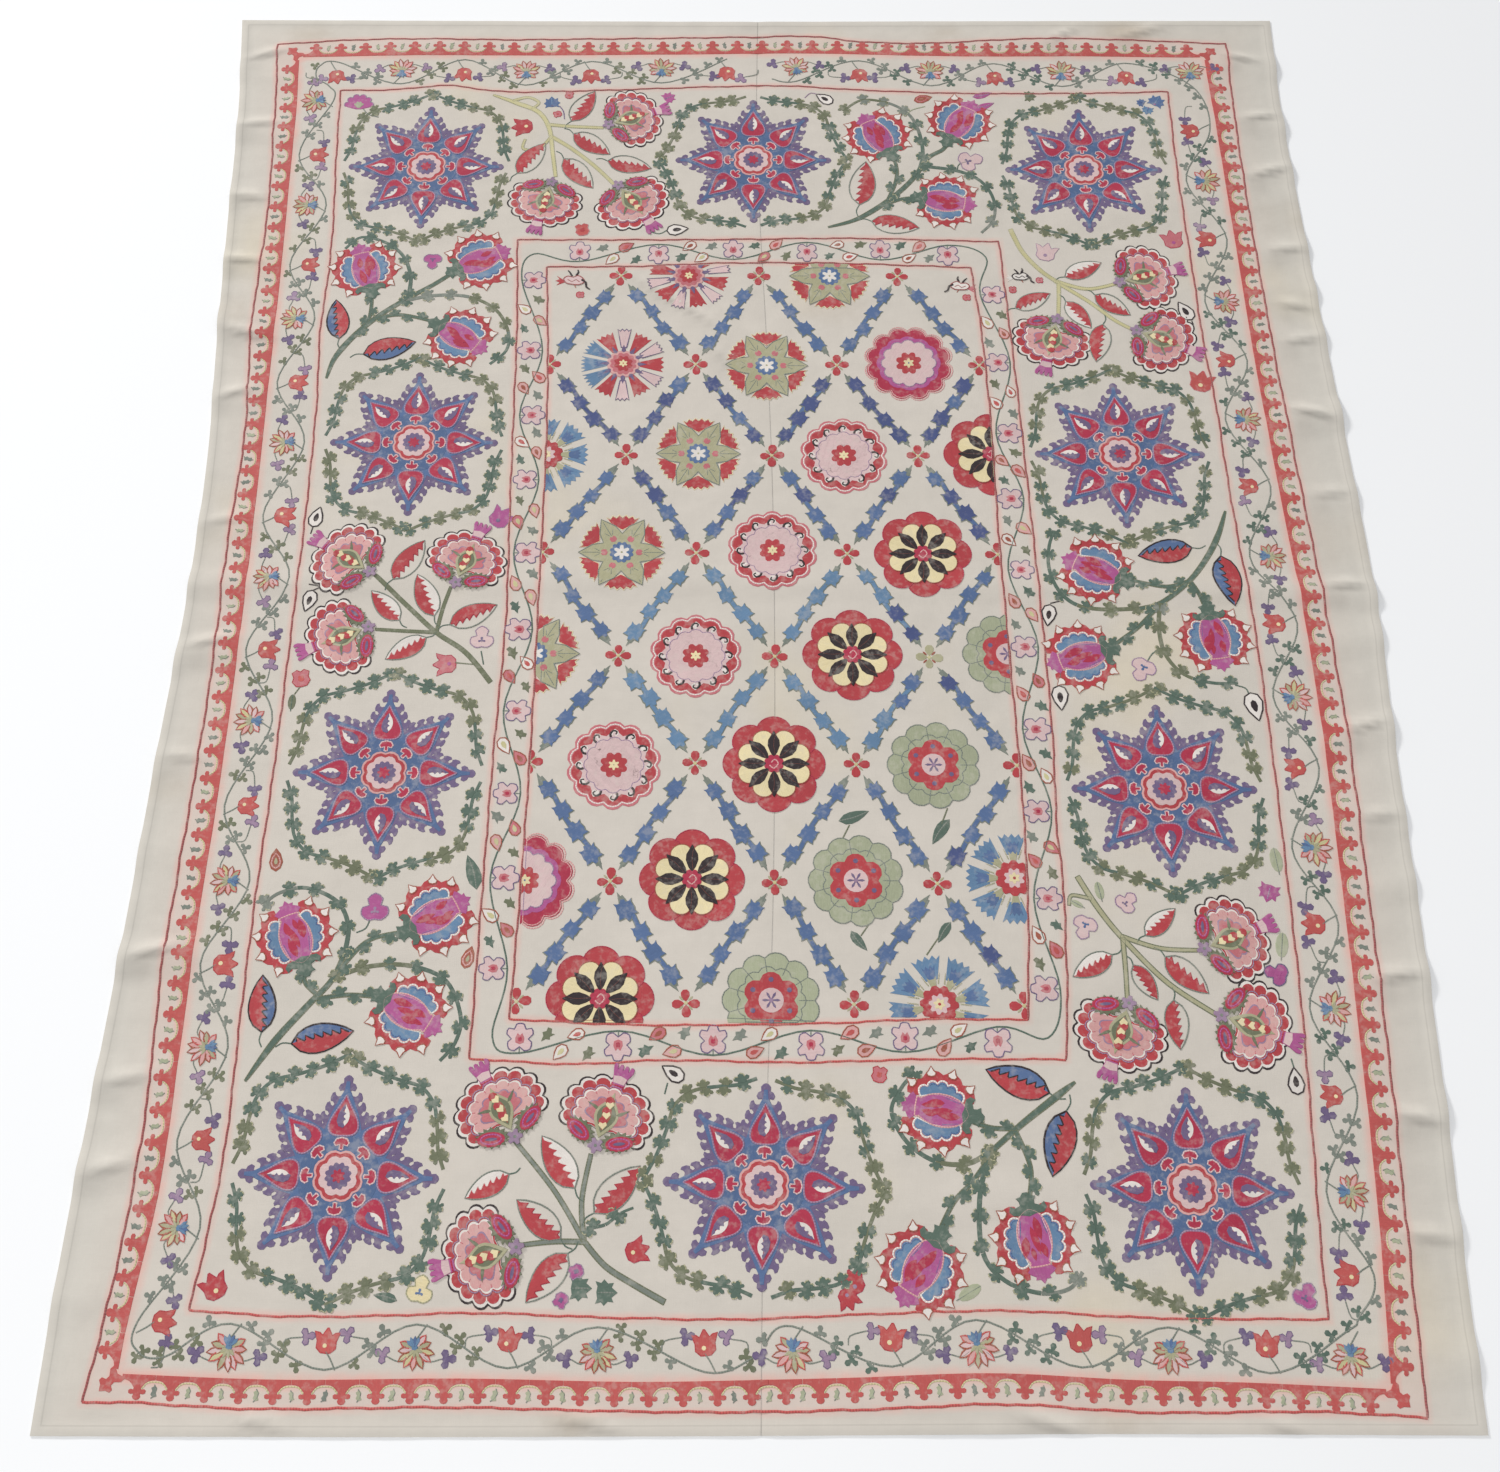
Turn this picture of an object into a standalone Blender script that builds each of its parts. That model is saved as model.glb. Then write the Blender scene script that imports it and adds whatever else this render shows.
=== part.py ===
"""Suzani, an embroidered cloth of two long panels joined at a seam down its middle.

The cloth lies on a floor with its soft folds. Lengths are metres, +Z is up and +Y runs
to the far edge. The origin is on the floor, under the middle of the cloth's box.
"""

import math
from collections import namedtuple

import bmesh
import bpy
import numpy as np

# Driving sizes of the laid-out cloth
THICKNESS = 0.0016
SEAM_GAP = 0.0003
ROWS = 84

# Where the long edges and the seam run. The whole cloth bows to the right at its middle.
Station = namedtuple("Station", "along left seam right")
STATIONS = [
    Station(-0.962, -0.7535, -0.0045, 0.7345),
    Station(-0.800, -0.7505, -0.0025, 0.7385),
    Station(-0.600, -0.7420, 0.0040, 0.7465),
    Station(-0.400, -0.7335, 0.0110, 0.7515),
    Station(-0.200, -0.7270, 0.0145, 0.7550),
    Station(0.000, -0.7185, 0.0155, 0.7615),
    Station(0.200, -0.7180, 0.0135, 0.7575),
    Station(0.400, -0.7290, 0.0075, 0.7510),
    Station(0.600, -0.7385, -0.0005, 0.7450),
    Station(0.800, -0.7475, -0.0045, 0.7410),
    Station(0.962, -0.7615, -0.0025, 0.7455),
]

# Where the two short edges run, as they rise and dip across the cloth
End = namedtuple("End", "across near far")
ENDS = [
    End(-0.7615, -0.9620, 0.9620),
    End(-0.4000, -0.9590, 0.9605),
    End(0.0000, -0.9535, 0.9595),
    End(0.3500, -0.9480, 0.9610),
    End(0.7615, -0.9450, 0.9620),
]

# How far in from the outer edge each column of the sheet lies, as a share of the width
COLUMNS = [0.0, 0.035, 0.075, 0.125, 0.19, 0.28, 0.38, 0.49, 0.60, 0.71, 0.83, 0.95, 1.0]

# Soft ripples that run in from the two long edges: where they start, how far their inner
# end drifts along the cloth, and their half width, reach and height
Ripple = namedtuple("Ripple", "along drift half_width reach height")
LEFT_RIPPLES = [
    Ripple(0.863, -0.020, 0.034, 0.130, 0.0035),
    Ripple(0.753, -0.015, 0.036, 0.120, 0.0040),
    Ripple(0.638, 0.012, 0.034, 0.130, 0.0030),
    Ripple(0.523, -0.010, 0.032, 0.110, 0.0034),
    Ripple(0.423, -0.022, 0.036, 0.150, 0.0060),
    Ripple(0.303, 0.010, 0.034, 0.120, 0.0032),
    Ripple(0.110, 0.014, 0.038, 0.130, 0.0028),
    Ripple(-0.080, 0.034, 0.036, 0.140, 0.0048),
    Ripple(-0.215, 0.010, 0.034, 0.110, 0.0025),
    Ripple(-0.330, -0.012, 0.036, 0.120, 0.0030),
    Ripple(-0.458, 0.006, 0.032, 0.140, 0.0060),
    Ripple(-0.597, 0.012, 0.036, 0.130, 0.0038),
    Ripple(-0.697, 0.024, 0.034, 0.130, 0.0045),
    Ripple(-0.830, -0.010, 0.038, 0.110, 0.0028),
]
RIGHT_RIPPLES = [
    Ripple(0.873, 0.018, 0.034, 0.140, 0.0045),
    Ripple(0.765, 0.020, 0.036, 0.150, 0.0048),
    Ripple(0.683, 0.012, 0.030, 0.120, 0.0036),
    Ripple(0.553, -0.014, 0.034, 0.120, 0.0034),
    Ripple(0.478, 0.010, 0.030, 0.120, 0.0040),
    Ripple(0.403, 0.016, 0.032, 0.120, 0.0036),
    Ripple(0.283, -0.030, 0.038, 0.150, 0.0062),
    Ripple(0.160, 0.010, 0.034, 0.110, 0.0028),
    Ripple(-0.040, -0.018, 0.034, 0.130, 0.0036),
    Ripple(-0.162, -0.022, 0.036, 0.140, 0.0046),
    Ripple(-0.275, 0.010, 0.032, 0.120, 0.0030),
    Ripple(-0.357, -0.014, 0.032, 0.120, 0.0034),
    Ripple(-0.467, 0.008, 0.034, 0.130, 0.0048),
    Ripple(-0.617, -0.016, 0.036, 0.130, 0.0042),
    Ripple(-0.745, -0.012, 0.034, 0.120, 0.0036),
    Ripple(-0.875, 0.012, 0.036, 0.120, 0.0034),
]

# The one sharp fold, left by storing the cloth folded in half across its length
FOLD_HALF_WIDTH = 0.030
Crest = namedtuple("Crest", "across along height")
FOLD = [
    Crest(-0.760, 0.022, 0.0052),
    Crest(-0.560, 0.028, 0.0030),
    Crest(-0.300, 0.033, 0.0022),
    Crest(0.000, 0.031, 0.0026),
    Crest(0.280, 0.026, 0.0020),
    Crest(0.560, 0.024, 0.0034),
    Crest(0.760, 0.018, 0.0056),
]

# Long soft wrinkles inside the cloth, each a ridge between two points
Wrinkle = namedtuple("Wrinkle", "start end half_width height")
WRINKLES = [
    Wrinkle((-0.195, 0.520), (0.010, 0.275), 0.044, 0.0030),
    Wrinkle((-0.290, 0.430), (-0.110, 0.290), 0.040, 0.0022),
    Wrinkle((0.130, 0.420), (0.330, 0.330), 0.042, 0.0020),
    Wrinkle((-0.560, 0.560), (-0.330, 0.600), 0.040, 0.0022),
    Wrinkle((0.330, 0.580), (0.620, 0.640), 0.042, 0.0026),
    Wrinkle((-0.240, -0.110), (0.090, -0.150), 0.042, 0.0018),
    Wrinkle((0.060, -0.300), (0.400, -0.345), 0.042, 0.0022),
    Wrinkle((-0.580, -0.340), (-0.270, -0.380), 0.042, 0.0024),
    Wrinkle((0.080, -0.740), (0.420, -0.700), 0.044, 0.0028),
    Wrinkle((-0.420, -0.760), (-0.090, -0.735), 0.042, 0.0022),
    Wrinkle((-0.620, 0.905), (-0.330, 0.925), 0.038, 0.0026),
    Wrinkle((0.240, 0.930), (0.600, 0.905), 0.038, 0.0030),
    Wrinkle((0.020, -0.915), (0.330, -0.930), 0.036, 0.0034),
]

# Colour, roughness and metallic value of each panel's ground cloth
LEFT_LINEN = ((0.65, 0.62, 0.56, 1.0), 0.92, 0.0)
RIGHT_LINEN = ((0.64, 0.61, 0.55, 1.0), 0.92, 0.0)


def swell(distance, half_width):
    """One at the crest, easing to nothing at half_width and beyond."""
    share = np.minimum(np.abs(distance) / half_width, 1.0)
    return 0.5 + 0.5 * np.cos(math.pi * share)


def smooth_between(rows, key, value, place):
    """A value read from a table's rows at a place, eased so that the line has no kinks."""
    keys = np.array([getattr(row, key) for row in rows])
    values = np.array([getattr(row, value) for row in rows])
    slopes = np.gradient(values, keys)
    place = np.clip(place, keys[0], keys[-1])
    low = np.clip(np.searchsorted(keys, place) - 1, 0, len(keys) - 2)
    span = keys[low + 1] - keys[low]
    t = (place - keys[low]) / span
    from_low = (1 + 2 * t) * (1 - t) ** 2 * values[low] + t * (1 - t) ** 2 * span * slopes[low]
    from_high = t * t * (3 - 2 * t) * values[low + 1] + t * t * (t - 1) * span * slopes[low + 1]
    return from_low + from_high


def ripple_lift(y, ripples, inset):
    """How far the ripples of one long edge lift a point that lies inset from that edge."""
    lift = 0.0
    for ripple in ripples:
        crest = ripple.along + ripple.drift * inset / ripple.reach
        lift += ripple.height * swell(y - crest, ripple.half_width) * swell(inset, ripple.reach)
    return lift


def wrinkle_lift(x, y):
    """How far the wrinkles inside the cloth lift a point."""
    lift = 0.0
    for wrinkle in WRINKLES:
        start = np.array(wrinkle.start)
        run = np.array(wrinkle.end) - start
        length = np.hypot(*run)
        along = ((x - start[0]) * run[0] + (y - start[1]) * run[1]) / length
        aside = ((x - start[0]) * run[1] - (y - start[1]) * run[0]) / length
        crest = swell(along - length / 2, length / 2)
        lift += wrinkle.height * crest * swell(aside, wrinkle.half_width)
    return lift


def fold_lift(x, y):
    """How far the fold across the cloth lifts a point."""
    crest = smooth_between(FOLD, "across", "along", x)
    height = smooth_between(FOLD, "across", "height", x)
    return height * swell(y - crest, FOLD_HALF_WIDTH)


def lift(x, y):
    """Height of the cloth's underside above the floor, nothing where it lies flat."""
    left = smooth_between(STATIONS, "along", "left", y)
    right = smooth_between(STATIONS, "along", "right", y)
    from_left = max(x - left, 0.0)
    from_right = max(right - x, 0.0)
    edges = ripple_lift(y, LEFT_RIPPLES, from_left)
    edges += ripple_lift(y, RIGHT_RIPPLES, from_right)
    return float(edges + wrinkle_lift(x, y) + fold_lift(x, y))


def place_on_cloth(across, along, outer):
    """The point of a panel at shares of its width, from the outer edge, and of its length."""
    side = -1 if outer == "left" else 1
    guess = side * 0.75 * (1 - across)
    near = smooth_between(ENDS, "across", "near", guess)
    far = smooth_between(ENDS, "across", "far", guess)
    y = near + (far - near) * along
    edge = smooth_between(STATIONS, "along", outer, y)
    seam = smooth_between(STATIONS, "along", "seam", y) + side * SEAM_GAP / 2
    x = edge + (seam - edge) * across
    return x, y, lift(x, y)


def ground_material(name, finish):
    """The plain ground cloth of one panel."""
    colour, roughness, metallic = finish
    material = bpy.data.materials.new(name)
    material.use_nodes = True
    shader = material.node_tree.nodes["Principled BSDF"]
    shader.inputs["Base Color"].default_value = colour
    shader.inputs["Roughness"].default_value = roughness
    shader.inputs["Metallic"].default_value = metallic
    return material


def panel(name, outer, finish):
    """One panel: a grid laid on the folds, then given its thickness upwards."""
    sheet = bmesh.new()
    across_steps = len(COLUMNS) - 1
    bmesh.ops.create_grid(sheet, x_segments=across_steps, y_segments=ROWS, size=0.5)
    for vert in sheet.verts:
        column = round((vert.co.x + 0.5) * across_steps)
        vert.co = place_on_cloth(COLUMNS[column], vert.co.y + 0.5, outer)
    top = bmesh.ops.extrude_face_region(sheet, geom=sheet.faces[:])
    raised = [part for part in top["geom"] if isinstance(part, bmesh.types.BMVert)]
    bmesh.ops.translate(sheet, verts=raised, vec=(0, 0, THICKNESS))
    bmesh.ops.triangulate(sheet, faces=sheet.faces[:])
    bmesh.ops.recalc_face_normals(sheet, faces=sheet.faces[:])
    mesh = bpy.data.meshes.new(name)
    sheet.to_mesh(mesh)
    sheet.free()
    mesh.shade_smooth()
    mesh.materials.append(ground_material(name, finish))
    panel_object = bpy.data.objects.new(name, mesh)
    bpy.context.scene.collection.objects.link(panel_object)


def clear_scene():
    for leftover in list(bpy.data.objects):
        bpy.data.objects.remove(leftover, do_unlink=True)


clear_scene()
panel("left_panel", "left", LEFT_LINEN)
panel("right_panel", "right", RIGHT_LINEN)
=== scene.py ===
import cmath
import math
import random
from collections import defaultdict, namedtuple

import bmesh
import bpy
import numpy as np
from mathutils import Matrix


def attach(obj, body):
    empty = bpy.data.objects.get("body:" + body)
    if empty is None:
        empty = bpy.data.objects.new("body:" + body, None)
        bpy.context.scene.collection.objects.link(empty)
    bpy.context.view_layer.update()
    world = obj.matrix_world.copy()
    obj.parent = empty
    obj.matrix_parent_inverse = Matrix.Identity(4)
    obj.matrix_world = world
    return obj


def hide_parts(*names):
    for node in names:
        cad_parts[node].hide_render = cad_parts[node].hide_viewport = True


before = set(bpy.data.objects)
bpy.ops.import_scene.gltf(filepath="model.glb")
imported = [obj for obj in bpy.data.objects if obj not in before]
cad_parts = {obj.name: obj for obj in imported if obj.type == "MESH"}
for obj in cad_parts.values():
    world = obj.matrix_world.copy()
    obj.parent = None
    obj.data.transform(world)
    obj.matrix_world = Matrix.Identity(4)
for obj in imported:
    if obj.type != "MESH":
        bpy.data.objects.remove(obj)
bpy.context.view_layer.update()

MM = 0.001
dice = random.Random(41)

# The ground cloth: the part's own sizes
THICKNESS = 0.0016
SEAM_GAP = 0.0003
STATIONS = [
    (-0.962, -0.7535, -0.0045, 0.7345), (-0.800, -0.7505, -0.0025, 0.7385),
    (-0.600, -0.7420, 0.0040, 0.7465), (-0.400, -0.7335, 0.0110, 0.7515),
    (-0.200, -0.7270, 0.0145, 0.7550), (0.000, -0.7185, 0.0155, 0.7615),
    (0.200, -0.7180, 0.0135, 0.7575), (0.400, -0.7290, 0.0075, 0.7510),
    (0.600, -0.7385, -0.0005, 0.7450), (0.800, -0.7475, -0.0045, 0.7410),
    (0.962, -0.7615, -0.0025, 0.7455),
]
LEFT_EDGE = [(along, left) for along, left, seam, right in STATIONS]
SEAM = [(along, seam) for along, left, seam, right in STATIONS]
RIGHT_EDGE = [(along, right) for along, left, seam, right in STATIONS]
NEAR_END = [(-0.7615, -0.9620), (-0.4, -0.9590), (0.0, -0.9535), (0.35, -0.9480), (0.7615, -0.9450)]
FAR_END = [(-0.7615, 0.9620), (-0.4, 0.9605), (0.0, 0.9595), (0.35, 0.9610), (0.7615, 0.9620)]

# Soft ripples that run in from the long edges
Ripple = namedtuple("Ripple", "along drift half_width reach height")
LEFT_RIPPLES = [Ripple(*row) for row in [
    (0.863, -0.020, 0.034, 0.130, 0.0035), (0.753, -0.015, 0.036, 0.120, 0.0040),
    (0.638, 0.012, 0.034, 0.130, 0.0030), (0.523, -0.010, 0.032, 0.110, 0.0034),
    (0.423, -0.022, 0.036, 0.150, 0.0060), (0.303, 0.010, 0.034, 0.120, 0.0032),
    (0.110, 0.014, 0.038, 0.130, 0.0028), (-0.080, 0.034, 0.036, 0.140, 0.0048),
    (-0.215, 0.010, 0.034, 0.110, 0.0025), (-0.330, -0.012, 0.036, 0.120, 0.0030),
    (-0.458, 0.006, 0.032, 0.140, 0.0060), (-0.597, 0.012, 0.036, 0.130, 0.0038),
    (-0.697, 0.024, 0.034, 0.130, 0.0045), (-0.830, -0.010, 0.038, 0.110, 0.0028),
]]
RIGHT_RIPPLES = [Ripple(*row) for row in [
    (0.873, 0.018, 0.034, 0.140, 0.0045), (0.765, 0.020, 0.036, 0.150, 0.0048),
    (0.683, 0.012, 0.030, 0.120, 0.0036), (0.553, -0.014, 0.034, 0.120, 0.0034),
    (0.478, 0.010, 0.030, 0.120, 0.0040), (0.403, 0.016, 0.032, 0.120, 0.0036),
    (0.283, -0.030, 0.038, 0.150, 0.0062), (0.160, 0.010, 0.034, 0.110, 0.0028),
    (-0.040, -0.018, 0.034, 0.130, 0.0036), (-0.162, -0.022, 0.036, 0.140, 0.0046),
    (-0.275, 0.010, 0.032, 0.120, 0.0030), (-0.357, -0.014, 0.032, 0.120, 0.0034),
    (-0.467, 0.008, 0.034, 0.130, 0.0048), (-0.617, -0.016, 0.036, 0.130, 0.0042),
    (-0.745, -0.012, 0.034, 0.120, 0.0036), (-0.875, 0.012, 0.036, 0.120, 0.0034),
]]

# The fold across the cloth: its crest's place and height
FOLD_HALF_WIDTH = 0.030
FOLD_LINE = [(-0.76, 0.022), (-0.56, 0.028), (-0.3, 0.033), (0.0, 0.031), (0.28, 0.026), (0.56, 0.024),
             (0.76, 0.018)]
FOLD_HEIGHT = [
    (-0.76, 0.0052), (-0.56, 0.0030), (-0.3, 0.0022), (0.0, 0.0026), (0.28, 0.0020), (0.56, 0.0034),
    (0.76, 0.0056),
]

# Long soft wrinkles, each a ridge between two points
Wrinkle = namedtuple("Wrinkle", "start end half_width height")
WRINKLES = [Wrinkle(*row) for row in [
    (-0.195 + 0.520j, 0.010 + 0.275j, 0.044, 0.0030), (-0.290 + 0.430j, -0.110 + 0.290j, 0.040, 0.0022),
    (0.130 + 0.420j, 0.330 + 0.330j, 0.042, 0.0020), (-0.560 + 0.560j, -0.330 + 0.600j, 0.040, 0.0022),
    (0.330 + 0.580j, 0.620 + 0.640j, 0.042, 0.0026), (-0.240 - 0.110j, 0.090 - 0.150j, 0.042, 0.0018),
    (0.060 - 0.300j, 0.400 - 0.345j, 0.042, 0.0022), (-0.580 - 0.340j, -0.270 - 0.380j, 0.042, 0.0024),
    (0.080 - 0.740j, 0.420 - 0.700j, 0.044, 0.0028), (-0.420 - 0.760j, -0.090 - 0.735j, 0.042, 0.0022),
    (-0.620 + 0.905j, -0.330 + 0.925j, 0.038, 0.0026), (0.240 + 0.930j, 0.600 + 0.905j, 0.038, 0.0030),
    (0.020 - 0.915j, 0.330 - 0.930j, 0.036, 0.0034),
]]

# Slack in the cloth and finer creases, which the solid leaves out
SLACK_HEIGHT = 0.00022
CREASES = [Wrinkle(*row) for row in [
    (-0.760 + 0.885j, -0.672 + 0.912j, 0.012, 0.0026), (-0.755 + 0.762j, -0.672 + 0.772j, 0.011, 0.0024),
    (-0.752 + 0.640j, -0.676 + 0.630j, 0.011, 0.0022), (-0.745 + 0.530j, -0.672 + 0.524j, 0.010, 0.0028),
    (-0.735 + 0.418j, -0.640 + 0.392j, 0.013, 0.0026), (-0.725 + 0.300j, -0.660 + 0.322j, 0.010, 0.0025),
    (-0.720 + 0.112j, -0.650 + 0.124j, 0.012, 0.0018), (-0.720 - 0.062j, -0.640 - 0.046j, 0.011, 0.0026),
    (-0.725 - 0.205j, -0.660 - 0.212j, 0.012, 0.0020), (-0.735 - 0.458j, -0.655 - 0.438j, 0.010, 0.0030),
    (-0.742 - 0.600j, -0.668 - 0.588j, 0.012, 0.0022), (-0.748 - 0.700j, -0.676 - 0.682j, 0.011, 0.0022),
    (0.660 + 0.902j, 0.730 + 0.878j, 0.010, 0.0026), (0.672 + 0.775j, 0.745 + 0.786j, 0.010, 0.0028),
    (0.672 + 0.672j, 0.748 + 0.694j, 0.011, 0.0028), (0.684 + 0.545j, 0.752 + 0.552j, 0.010, 0.0024),
    (0.684 + 0.462j, 0.752 + 0.450j, 0.010, 0.0026), (0.684 + 0.395j, 0.755 + 0.405j, 0.011, 0.0022),
    (0.680 + 0.296j, 0.757 + 0.272j, 0.011, 0.0032), (0.690 + 0.160j, 0.760 + 0.168j, 0.012, 0.0020),
    (0.690 + 0.030j, 0.762 + 0.034j, 0.010, 0.0028), (0.690 - 0.168j, 0.757 - 0.148j, 0.010, 0.0028),
    (0.690 - 0.276j, 0.755 - 0.270j, 0.011, 0.0020), (0.680 - 0.470j, 0.752 - 0.460j, 0.010, 0.0028),
    (0.680 - 0.618j, 0.748 - 0.630j, 0.011, 0.0024), (0.670 - 0.745j, 0.744 - 0.752j, 0.012, 0.0022),
    (0.410 + 0.915j, 0.475 + 0.958j, 0.011, 0.0022), (0.500 + 0.925j, 0.610 + 0.958j, 0.014, 0.0022),
    (-0.200 + 0.520j, -0.030 + 0.400j, 0.014, 0.0020), (-0.080 + 0.402j, 0.000 + 0.320j, 0.012, 0.0016),
    (-0.240 - 0.930j, -0.130 - 0.952j, 0.013, 0.0020), (0.240 - 0.925j, 0.340 - 0.948j, 0.013, 0.0020),
    (-0.560 - 0.935j, -0.480 - 0.955j, 0.012, 0.0018), (0.500 - 0.930j, 0.560 - 0.945j, 0.012, 0.0016),
]]


def swell(distance, half_width):
    """One at the crest, easing to nothing at half_width and beyond."""
    share = np.minimum(np.abs(distance) / half_width, 1.0)
    return 0.5 + 0.5 * np.cos(math.pi * share)


def eased(table, place):
    """A value read from (place, value) pairs, eased so that the line has no kinks."""
    keys, values = np.array(table, float).T
    slopes = np.gradient(values, keys)
    place = np.clip(place, keys[0], keys[-1])
    low = np.clip(np.searchsorted(keys, place) - 1, 0, len(keys) - 2)
    span = keys[low + 1] - keys[low]
    t = (place - keys[low]) / span
    from_low = (1 + 2 * t) * (1 - t) ** 2 * values[low] + t * (1 - t) ** 2 * span * slopes[low]
    from_high = t * t * (3 - 2 * t) * values[low + 1] + t * t * (t - 1) * span * slopes[low + 1]
    return from_low + from_high


def ripple_lift(y, ripples, inset):
    lift = 0.0
    for ripple in ripples:
        crest = ripple.along + ripple.drift * inset / ripple.reach
        lift = lift + ripple.height * swell(y - crest, ripple.half_width) * swell(inset, ripple.reach)
    return lift


def wrinkle_lift(x, y, wrinkles):
    lift = 0.0
    for wrinkle in wrinkles:
        run = wrinkle.end - wrinkle.start
        turned = (x + 1j * y - wrinkle.start) * run.conjugate() / abs(run)
        crest = swell(turned.real - abs(run) / 2, abs(run) / 2)
        lift = lift + wrinkle.height * crest * swell(turned.imag, wrinkle.half_width)
    return lift


def cloth_height(x, y):
    """How far the cloth's underside lies above the floor, with its ripples, folds and creases."""
    x, y = np.asarray(x, float), np.asarray(y, float)
    lift = ripple_lift(y, LEFT_RIPPLES, np.maximum(x - eased(LEFT_EDGE, y), 0))
    lift = lift + ripple_lift(y, RIGHT_RIPPLES, np.maximum(eased(RIGHT_EDGE, y) - x, 0))
    lift = lift + eased(FOLD_HEIGHT, x) * swell(y - eased(FOLD_LINE, x), FOLD_HALF_WIDTH)
    lift = lift + wrinkle_lift(x, y, WRINKLES) + wrinkle_lift(x, y, CREASES)
    slack = np.sin(x * 61 + 2.1 * np.sin(y * 23)) * np.sin(y * 53 + 1.7 * np.sin(x * 31) + 0.6)
    return lift + SLACK_HEIGHT * (1 + slack)


# Embroidery is charted in millimetres, as complex numbers, from a point near the middle
CHART_SHIFT = complex(-14.5, -7.0)
Patch = namedtuple("Patch", "outline level grain tone")
Strand = namedtuple("Strand", "points radii level tone")
patches = defaultdict(list)
strands = defaultdict(list)


def polar(radius, degrees):
    return cmath.rect(radius, math.radians(degrees))


def smooth(points, steps=3, closed=True):
    """A smooth line through points. A doubled point makes a corner."""
    points = np.array(points, complex)
    before, after, beyond = np.roll(points, 1), np.roll(points, -1), np.roll(points, -2)
    if not closed:
        before[0] = points[0]
        beyond[-2] = points[-1]
    leave, arrive = (after - before) / 2, (beyond - points) / 2
    t = (np.arange(steps) / steps)[None, :]
    run = (2 * t ** 3 - 3 * t ** 2 + 1) * points[:, None] + (t ** 3 - 2 * t ** 2 + t) * leave[:, None]
    run = run + (3 * t ** 2 - 2 * t ** 3) * after[:, None] + (t ** 3 - t ** 2) * arrive[:, None]
    keep = np.abs(after - points) > 1e-6
    if closed:
        return run[keep].ravel()
    keep[-1] = False
    return np.append(run[keep].ravel(), points[-1])


def ring(radius, count=20):
    return radius * np.exp(2j * math.pi * np.arange(count) / count)


def scalloped(low, high, lobes, steps=4, turn=0.0, sharp=0.7):
    """A round outline of lobes, with its cusps at the low radius and its crowns at the high one."""
    count = np.arange(lobes * steps)
    share = (count % steps) / steps
    radius = low + (high - low) * np.sin(math.pi * share) ** sharp
    return radius * np.exp(1j * (2 * math.pi * count / len(count) + math.radians(turn)))


def mirrored(half, steps=0):
    """A shape from the points of its upper half, which start and end on its axis."""
    half = np.array(half, complex)
    whole = np.concatenate([half, np.conj(half[::-1])])
    inner = whole[np.abs(np.roll(whole, 1) - whole) > 1e-6]
    return smooth(inner, steps) if steps else inner


def leaf(length, width, fullest=0.4, steps=6, hook=0.0):
    """A pointed leaf from its stem end at zero, its tip bent aside by hook."""
    t = np.linspace(0, 1, steps + 1)
    bulge = np.sin(math.pi * t ** (math.log(0.5) / math.log(fullest))) ** 0.8
    upper = length * t + 0.5j * width * bulge + 1j * hook * t ** 2
    lower = length * t - 0.5j * width * bulge + 1j * hook * t ** 2
    return np.concatenate([upper, lower[-2:0:-1]])


ROUND_TOOTH = np.array([0.02, 0.05 + 0.75j, 0.38 + 1.05j, 0.75 + 0.95j, 0.86 + 0.35j])
KNOB = np.array([0.06 + 0.05j, 0.10 + 0.42j, -0.06 + 0.74j, 0.16 + 1.06j, 0.60 + 1.12j, 0.92 + 0.80j,
                 0.80 + 0.40j, 0.86 + 0.10j])
SHARP_TOOTH = np.array([0.04 + 0.12j, 0.42 + 0.50j, 0.86 + 1.0j, 0.90 + 0.30j])


def teeth(start, end, count, height, lean=0.25, knob=ROUND_TOOTH):
    """Rounded, leaning teeth along a line, on its left side."""
    knob = knob.real + lean * knob.imag + 1j * knob.imag
    pitch = (end - start) / count
    up = 1j * (end - start) / abs(end - start) * height
    places = [start + pitch * (step + part.real) + up * part.imag for step in range(count) for part in knob]
    return np.array(places)


def ribbon(path, width, taper=0.0, first=1.0):
    """A path given a width, which narrows along it by the taper's share and begins at a first share."""
    path = np.asarray(path, complex)
    ahead = np.gradient(path)
    share = np.linspace(0, 1, len(path))
    half = width / 2 * (1 - taper * share) * np.minimum(first + 3 * share, 1)
    aside = 1j * ahead / np.abs(ahead) * half
    return np.concatenate([path + aside, (path - aside)[::-1]])


def thinned(points, slack=0.13, longest=10.0):
    """A path without the points that lie almost straight between their neighbours."""
    kept = [points[0]]
    for here, there in zip(points[1:-1], points[2:]):
        run = there - kept[-1]
        aside = abs(((here - kept[-1]) * run.conjugate()).imag) / max(abs(run), 0.001)
        if aside > slack or abs(run) > longest:
            kept.append(here)
    kept.append(points[-1])
    return np.array(kept, complex)


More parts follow.
